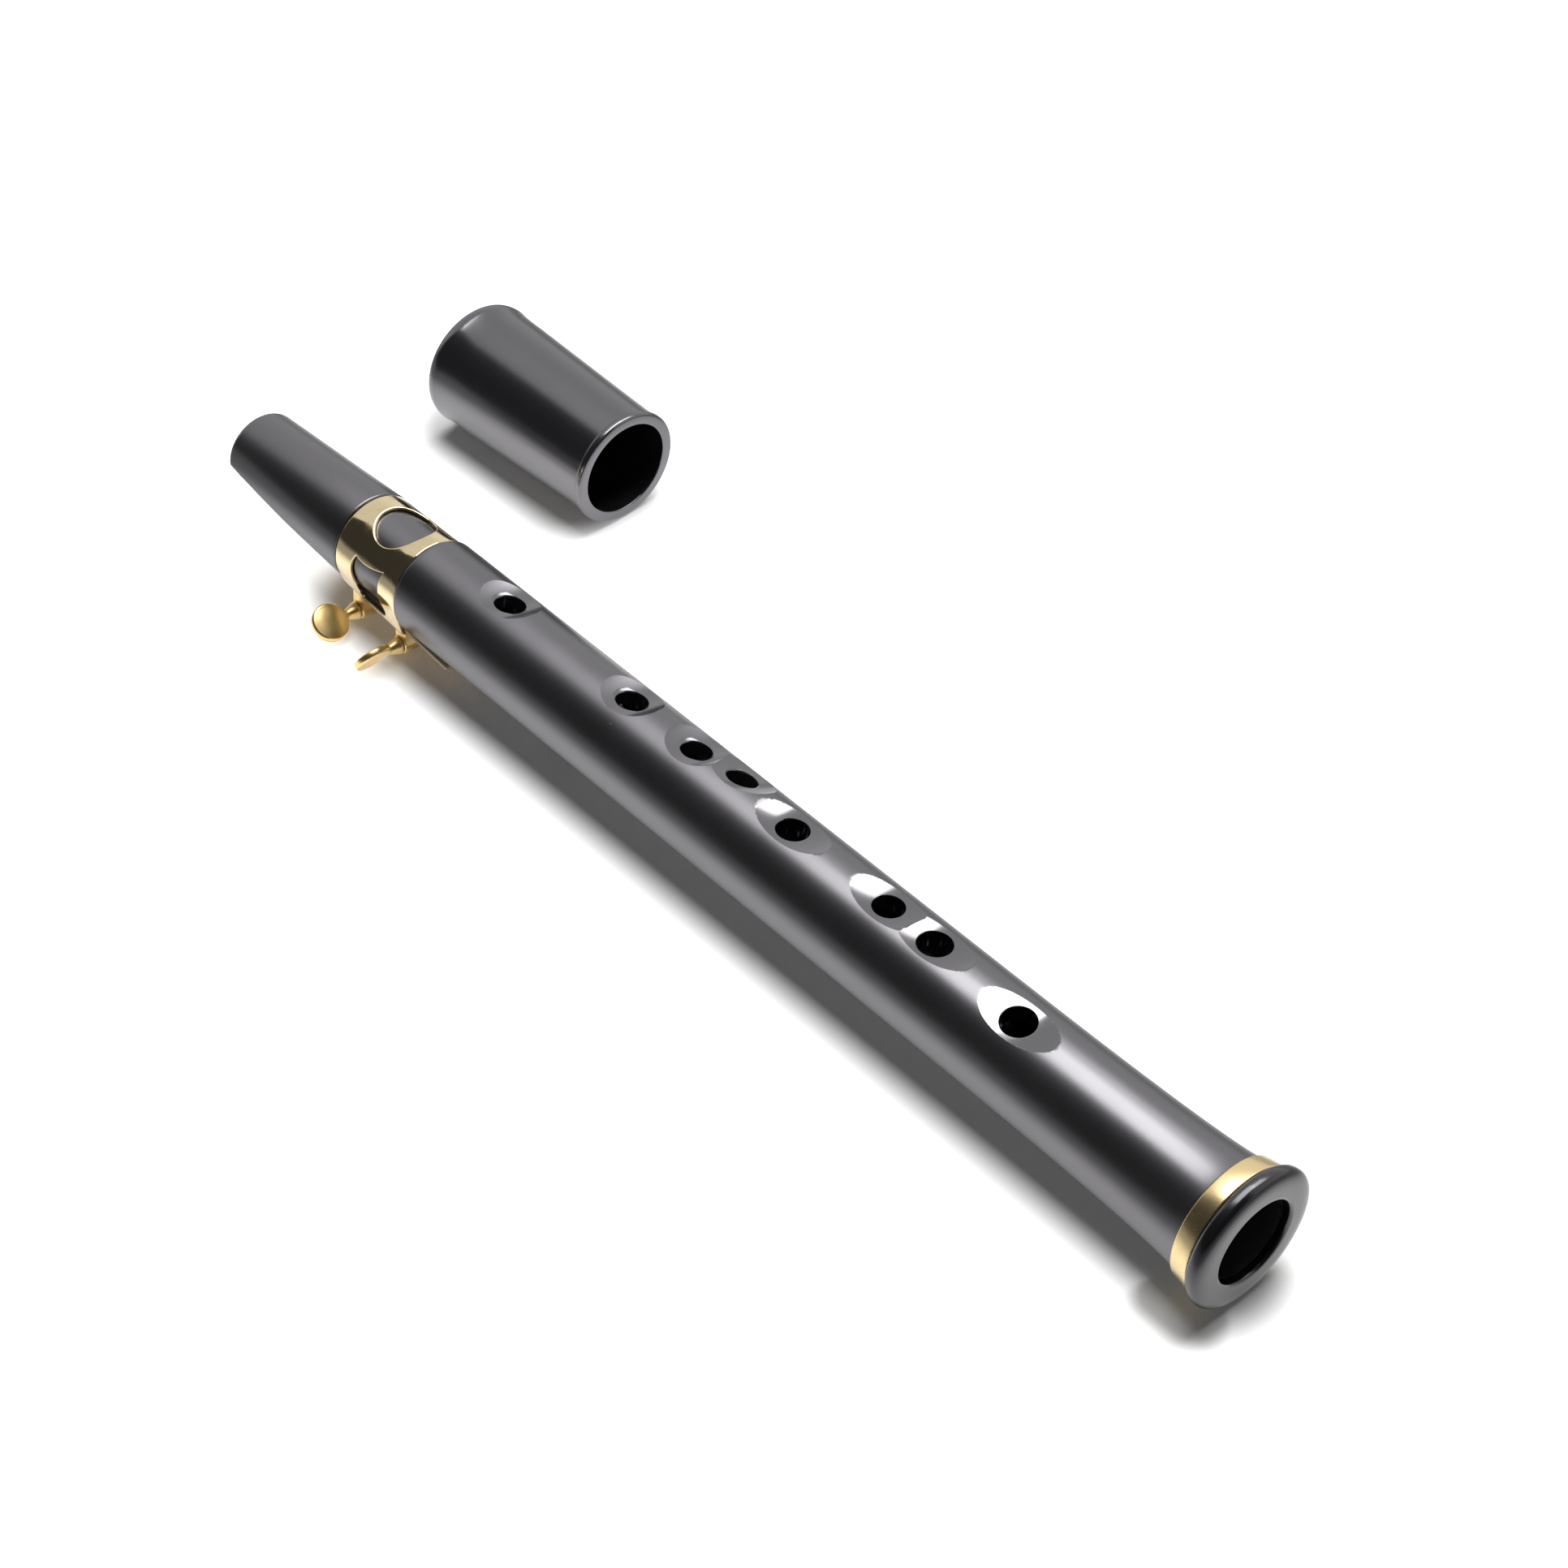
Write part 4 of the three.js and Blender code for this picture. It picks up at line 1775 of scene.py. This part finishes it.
    def strip(self, reach: float) -> BMesh:
        """Makes the flat strip, stamped out and with its outer edges rolled over.

        Args:
            reach: from the middle to each end.

        Returns:
            The strip, with its length along Y.
        """
        sheet = slab([
            (self.front, -reach), (self.rear, -reach), (self.rear, reach), (self.front, reach),
        ], self.thickness)
        bm = combined(sheet, [(Cut.TAKE_AWAY, plug) for plug in self.windows()])
        outer = [
            edge
            for edge in bm.edges
            if all(vert.co.z > self.thickness - WELD for vert in edge.verts)
            and edge.calc_face_angle(0.0) > math.radians(self.rolled_angle)
        ]
        bevelled(bm, outer, self.rolled_edge, self.rolled_segments, clamp=False)
        bmesh.ops.triangulate(bm, faces=[face for face in bm.faces if len(face.verts) > 4])
        cuts = int(2 * reach / self.bend_step)
        for cut in range(1, cuts):
            bmesh.ops.bisect_plane(
                bm, geom=bm.verts[:] + bm.edges[:] + bm.faces[:], dist=WELD,
                plane_co=(0, -reach + 2 * reach * cut / cuts, 0), plane_no=(0, 1, 0),
            )
        return bm

    def band(self) -> BMesh:
        """Makes the band: the strip bent snugly round the groove and the reed.

        Returns:
            The band, in the pipe's frame.
        """
        flat_half = SnugLine.at_station(self.sizes, (self.front + self.rear) / 2).half_round
        bm = self.strip(flat_half - self.split_width / 2)
        for vert in bm.verts:
            line = SnugLine.at_station(self.sizes, vert.co.x)
            run = abs(vert.co.y) * line.half_round / flat_half
            point, outwards = line.follow(run)
            spot = point + outwards * vert.co.z
            vert.co = Vector((vert.co.x, math.copysign(spot.x, vert.co.y), spot.y))
        return tidied(bm)

    def rod(self, corners: Iterable[Corner]) -> BMesh:
        """A turned rod along Y."""
        return moved(spun(rounded(corners), self.rod_sides), along_y())

    def at_screw(self, x: float, turn: float, axis: str) -> Matrix:
        """A frame on a screw's line, turned about one of its axes."""
        return Matrix.Translation((x, 0, -self.sizes.screw_depth)) @ Matrix.Rotation(turn, 4, axis)

    def post(self, x: float, side: int) -> BMesh:
        """Makes one post.

        Args:
            x: station of its screw.
            side: 1 for the +Y side, -1 for the -Y side.

        Returns:
            The post, in the pipe's frame.
        """
        barrel = self.rod([
            (self.post_inner, 0.0, 0.0),
            (self.post_inner, self.post_radius, self.post_round),
            (self.post_outer, self.post_radius, self.post_round),
            (self.post_outer, 0.0, 0.0),
        ])
        half = self.post_foot_width / 2
        foot = block(
            Vector((-half, self.post_inner + self.post_foot_inset, 0.0)),
            Vector((half, self.post_outer - self.post_foot_inset, self.sizes.screw_depth)),
        )
        radius, past = self.screw_radius + self.running_gap, self.post_outer + self.cut_past
        hole = self.rod([(0.0, 0.0, 0.0), (0.0, radius, 0.0), (past, radius, 0.0), (past, 0.0, 0.0)])
        where = self.at_screw(x, 0.0 if side > 0 else math.pi, "Z")
        bm = combined(moved(barrel, where), [
            (Cut.JOIN, moved(foot, where)),
            (Cut.TAKE_AWAY, self.space(self.thickness + self.sizes.seat_gap)),
            (Cut.TAKE_AWAY, moved(hole, where)),
        ])
        return eased(bm, self.post_ease, self.post_ease_angle)

    def stem(self) -> list[Corner]:
        """Draws the screw's neck and collar.

        Returns:
            Their outline, from inside the paddle to the collar's end.
        """
        paddle_edge = self.paddle_centre - self.paddle_radius
        line: list[Corner] = [(-self.paddle_centre, 0.0, 0.0)]
        for start, (offset, radius, rounding) in (
            (self.paddle_centre, self.stem_tip),
            (paddle_edge, self.stem_root),
            (paddle_edge, self.stem_waist),
            (self.neck_start, self.stem_shoulder),
        ):
            line.append((offset - start, radius, rounding))
        crest = -self.collar_start - self.collar_crest
        line.append((crest, self.collar_radius, self.collar_crest))
        line.append((-self.collar_start, self.collar_radius, self.collar_round))
        return line

    def threaded_shank(self) -> list[Corner]:
        """Draws the screw's shank with its thread.

        Returns:
            Its outline, from the collar to the screw's end.
        """
        line: list[Corner] = [
            (-self.collar_start, self.screw_radius, 0.0), (-self.post_outer, self.screw_radius, 0.0),
        ]
        station = -self.post_inner
        end = self.post_outer + self.screw_tail
        point = end - self.screw_point
        while station + self.thread_pitch < point:
            line.append((station, self.screw_radius, 0.0))
            line.append((station + self.thread_pitch / 2, self.screw_radius - self.thread_depth, 0.0))
            station += self.thread_pitch
        line += [
            (point, self.screw_radius, 0.0),
            (end, self.screw_radius - self.screw_point, 0.0),
            (end, 0.0, 0.0),
        ]
        return line

    def paddle(self) -> BMesh:
        """Makes the round paddle, thickest in its middle.

        Returns:
            The paddle, upright at the end of its screw.
        """
        half = self.paddle_thickness / 2
        crown = half + self.paddle_crown
        flat = self.paddle_radius - self.paddle_edge
        face = bend((-crown, 0.0), (-crown, flat * self.paddle_crown_share), (-half, flat))
        rim = (-self.paddle_rim, self.paddle_radius)
        face += bend((-half, flat), (-half, self.paddle_radius), rim)[1:]
        back = [(-depth, radius) for depth, radius in reversed(face)]
        upright = Matrix.Translation((0, -self.paddle_centre, 0)) @ along_z()
        return moved(spun(face + back, self.paddle_sides), upright)

    def thumbscrew(self, x: float, turn: float) -> BMesh:
        """Makes a thumbscrew with its paddle.

        Args:
            x: its station.
            turn: of the paddle about the screw, in degrees.

        Returns:
            The screw, in the pipe's frame.
        """
        screw = self.rod([*self.stem(), *self.threaded_shank()])
        bm = combined(screw, [(Cut.JOIN, self.paddle())])
        eased(bm, self.screw_ease, self.screw_ease_angle)
        return moved(bm, self.at_screw(x, math.radians(turn), "Y"))

    def dress(self, place: Placement, brass: Material, cast: Material) -> list[bpy.types.Object]:
        """Builds the band, posts and screws and finishes them.

        Args:
            place: where the pieces stand.
            brass: the band's finish.
            cast: the finish of the posts and screws.

        Returns:
            All the pieces.
        """
        band = Finished("reed_ligature", "ligature_band", Body.PIPE, Slot.BRASS, crease=40.0)
        made = [band.settle(self.band(), place.pipe, brass)]
        ends = (
            ("front", self.sizes.front_screw, self.front_turn, Body.FRONT_SCREW),
            ("rear", self.sizes.rear_screw, self.rear_turn, Body.REAR_SCREW),
        )
        for end, x, turn, body in ends:
            for kind, side in (("plain", -1), ("threaded", 1)):
                piece = Finished(f"{end}_{kind}_lug", f"{end}_{kind}_post", Body.PIPE, Slot.BRASS)
                made.append(piece.settle(self.post(x, side), place.pipe, cast))
            piece = Finished(f"{end}_paddle_screw", f"{end}_thumbscrew", body, Slot.BRASS)
            made.append(piece.settle(self.thumbscrew(x, turn), place.pipe, cast))
        return made


@dataclass
class MouthpieceCap:
    """The loose cap, with a bead round its open rim and a swelling lip at its closed end."""

    length: float = 54.0
    bore_radius: float = 11.2
    rim_radius: float = 13.9
    rim_round: float = 0.7
    waist_radius: float = 13.5
    back_radius: float = 14.7
    lip_radius: float = 15.1
    bead: float = 1.4
    bead_step: float = 0.5
    bead_round: float = 0.35
    mouth_round: float = 0.35
    lip: float = 8.0
    lip_round: float = 3.6
    end_wall: float = 4.0
    floor_round: float = 1.0
    sides: int = 160

    def build(self) -> BMesh:
        """Makes the cap.

        Returns:
            The cap, with its closed end at X = 0.
        """
        face = (0.0, self.lip_radius - self.lip_round)
        lip = (self.lip_round, self.lip_radius)
        back = (self.lip + self.lip_round, self.back_radius)
        bead_start = self.length - self.bead
        line: Profile = [(0.0, 0.0), face]
        line += bend(face, (0.0, self.lip_radius), lip)
        line += bend(lip, (back[0] / 2, self.back_radius), back)
        line += rounded([
            (*back, 0.0),
            (bead_start - self.bead_step, self.waist_radius, self.bead_step),
            (bead_start, self.rim_radius, self.bead_round),
            (self.length, self.rim_radius, self.rim_round),
            (self.length, self.bore_radius, self.mouth_round),
            (self.end_wall, self.bore_radius, self.floor_round),
            (self.end_wall, 0.0, 0.0),
        ])
        return spun(line, self.sides)

    def dress(self, place: Placement, black: Material) -> list[bpy.types.Object]:
        """Builds the cap and finishes it."""
        piece = Finished("loose_cap", "mouthpiece_cap", Body.CAP, Slot.SATIN_BLACK)
        return [piece.settle(self.build(), place.cap, black)]


# Table, light and camera


def aimed(data: bpy.types.ID, place: Place, look: Vector) -> bpy.types.Object:
    """Stands a lamp or camera in the scene.

    Args:
        data: the lamp or camera.
        place: where it stands.
        look: the direction that it faces.

    Returns:
        Its object.
    """
    thing = bpy.data.objects.new(data.name, data)
    thing.location = place
    thing.rotation_mode = "QUATERNION"
    thing.rotation_quaternion = look.to_track_quat("-Z", "Y")
    bpy.context.scene.collection.objects.link(thing)
    return thing


@dataclass(frozen=True)
class SoftBox:
    """An oblong lamp that faces a point."""

    name: str
    place: Place
    width: float
    depth: float
    watts: float
    aim: Place = (0.0, 0.0, 0.0)

    def hang(self) -> None:
        """Makes the lamp."""
        lamp = bpy.data.lights.new(self.name, "AREA")
        lamp.shape = "RECTANGLE"
        lamp.size, lamp.size_y, lamp.energy = self.width, self.depth, self.watts
        thing = aimed(lamp, self.place, Vector(self.aim) - Vector(self.place))
        thing.visible_camera = False


@dataclass
class Studio:
    """The white table and back wall, the lamps and the camera."""

    camera_place: Place = (0.3863, -0.3496, 0.5059)
    camera_look: Place = (-0.5365, 0.4804, -0.6938)
    lens: float = 79.63
    sensor: float = 36.0
    nearest_seen: float = 0.01
    room_colour: Colour = (1.0, 0.985, 1.0)
    room_light: float = 0.035
    table_radius: float = 9.5
    table_edge: float = 0.5
    table_drop: float = 0.0001
    table_sides: int = 96
    wall_distance: float = 1.7
    wall_height: float = 3.0
    wall_from: float = 20.0
    wall_to: float = 200.0
    wall_steps: int = 48
    wall_grey: float = 0.55
    wall_mirrored: float = 0.64
    lamps: tuple[SoftBox, ...] = (
        SoftBox("overhead_softbox", (-0.19, 0.165, 1.05), 0.79, 0.67, 9.6, aim=(-0.19, 0.165, 0.0)),
        SoftBox("rear_softbox", (-0.06, 0.71, 1.11), 0.8, 0.53, 6.2),
    )

    def lay_table(self) -> None:
        """Makes the round table top, just under the pieces, with a raised edge far away."""
        bm = bmesh.new()
        bmesh.ops.create_circle(bm, cap_ends=True, segments=self.table_sides, radius=self.table_radius)
        bmesh.ops.translate(bm, verts=bm.verts, vec=(0, 0, -self.table_drop))
        rim = [edge for edge in bm.edges if edge.is_boundary]
        grown = bmesh.ops.extrude_edge_only(bm, edges=rim)
        bmesh.ops.translate(bm, verts=new_points(grown), vec=(0, 0, self.table_edge))
        table = loose_object(bm, "table_top")
        table.data.materials.append(WhiteStage("white_table").material())

    def raise_wall(self) -> None:
        """Makes the curved white wall behind the table."""
        bm = bmesh.new()
        foot, head = [bm.verts.new((self.wall_distance, 0.0, z)) for z in (0.0, self.wall_height)]
        edge = bm.edges.new((foot, head))
        turn = Matrix.Rotation(math.radians(self.wall_from), 3, "Z")
        bmesh.ops.rotate(bm, verts=bm.verts, cent=(0, 0, 0), matrix=turn)
        bmesh.ops.spin(
            bm,
            geom=[foot, head, edge],
            cent=(0, 0, 0),
            axis=(0, 0, 1),
            angle=math.radians(self.wall_to - self.wall_from),
            steps=self.wall_steps,
            use_merge=False,
        )
        wall = loose_object(bm, "back_wall")
        finish = WhiteStage(
            "white_wall",
            albedo=self.wall_grey,
            far_albedo=self.wall_grey,
            far_mirrored=self.wall_mirrored,
        )
        wall.data.materials.append(finish.material())
        wall.data.shade_smooth()

    def light_room(self) -> None:
        """Makes the room's own dim light, and the lamps."""
        world = bpy.data.worlds.new("studio_room")
        world.use_nodes = True
        room = world.node_tree.nodes["Background"]
        room.inputs["Color"].default_value = opaque(self.room_colour)
        room.inputs["Strength"].default_value = self.room_light
        bpy.context.scene.world = world
        for lamp in self.lamps:
            lamp.hang()

    def set_camera(self) -> None:
        """Makes the camera, at the photograph's place."""
        camera = bpy.data.cameras.new("camera")
        camera.lens = self.lens
        camera.sensor_width = self.sensor
        camera.clip_start = self.nearest_seen
        bpy.context.scene.camera = aimed(camera, self.camera_place, Vector(self.camera_look))

    def set_up(self) -> None:
        """Makes the whole studio."""
        self.lay_table()
        self.raise_wall()
        self.light_room()
        self.set_camera()
        bpy.context.scene.view_settings.view_transform = "Standard"


def main() -> None:
    """Builds every piece in order, then the studio round them."""
    logging.basicConfig(level=logging.INFO, format="%(name)s %(message)s")
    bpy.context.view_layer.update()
    sizes = PipeSizes()
    place = Placement.from_record(frame["record"], sizes)
    brass = PolishedBrass("polished_brass").material()
    cast = PolishedBrass(
        "cast_brass", colour=(0.92, 0.68, 0.31), cloud_colour=(0.78, 0.52, 0.2),
        roughness=0.32, relief=0.05,
    ).material()
    turned = PolishedBrass(
        "turned_brass", colour=(0.92, 0.72, 0.38), cloud_colour=(0.87, 0.66, 0.33),
        roughness=0.26, cloud_roughness=0.03, relief=0.0,
    ).material()
    gloss = MouldedBlack(
        "gloss_black_plastic", roughness=0.24, unevenness=0.06, ior=1.7, coat=0.25,
    ).material()
    cap_black = MouldedBlack("cap_black_plastic", roughness=0.22, unevenness=0.08).material()
    made = PipeBody(sizes).dress(place)
    made += BellEnd(sizes).dress(place, turned, gloss)
    made += CaneReed(sizes).dress(place)
    made += Ligature(sizes).dress(place, brass, cast)
    made += MouthpieceCap().dress(place, cap_black)
    Studio().set_up()
    LOG.info("%d pieces in all", len(made))


if __name__ == "__main__":
    main()
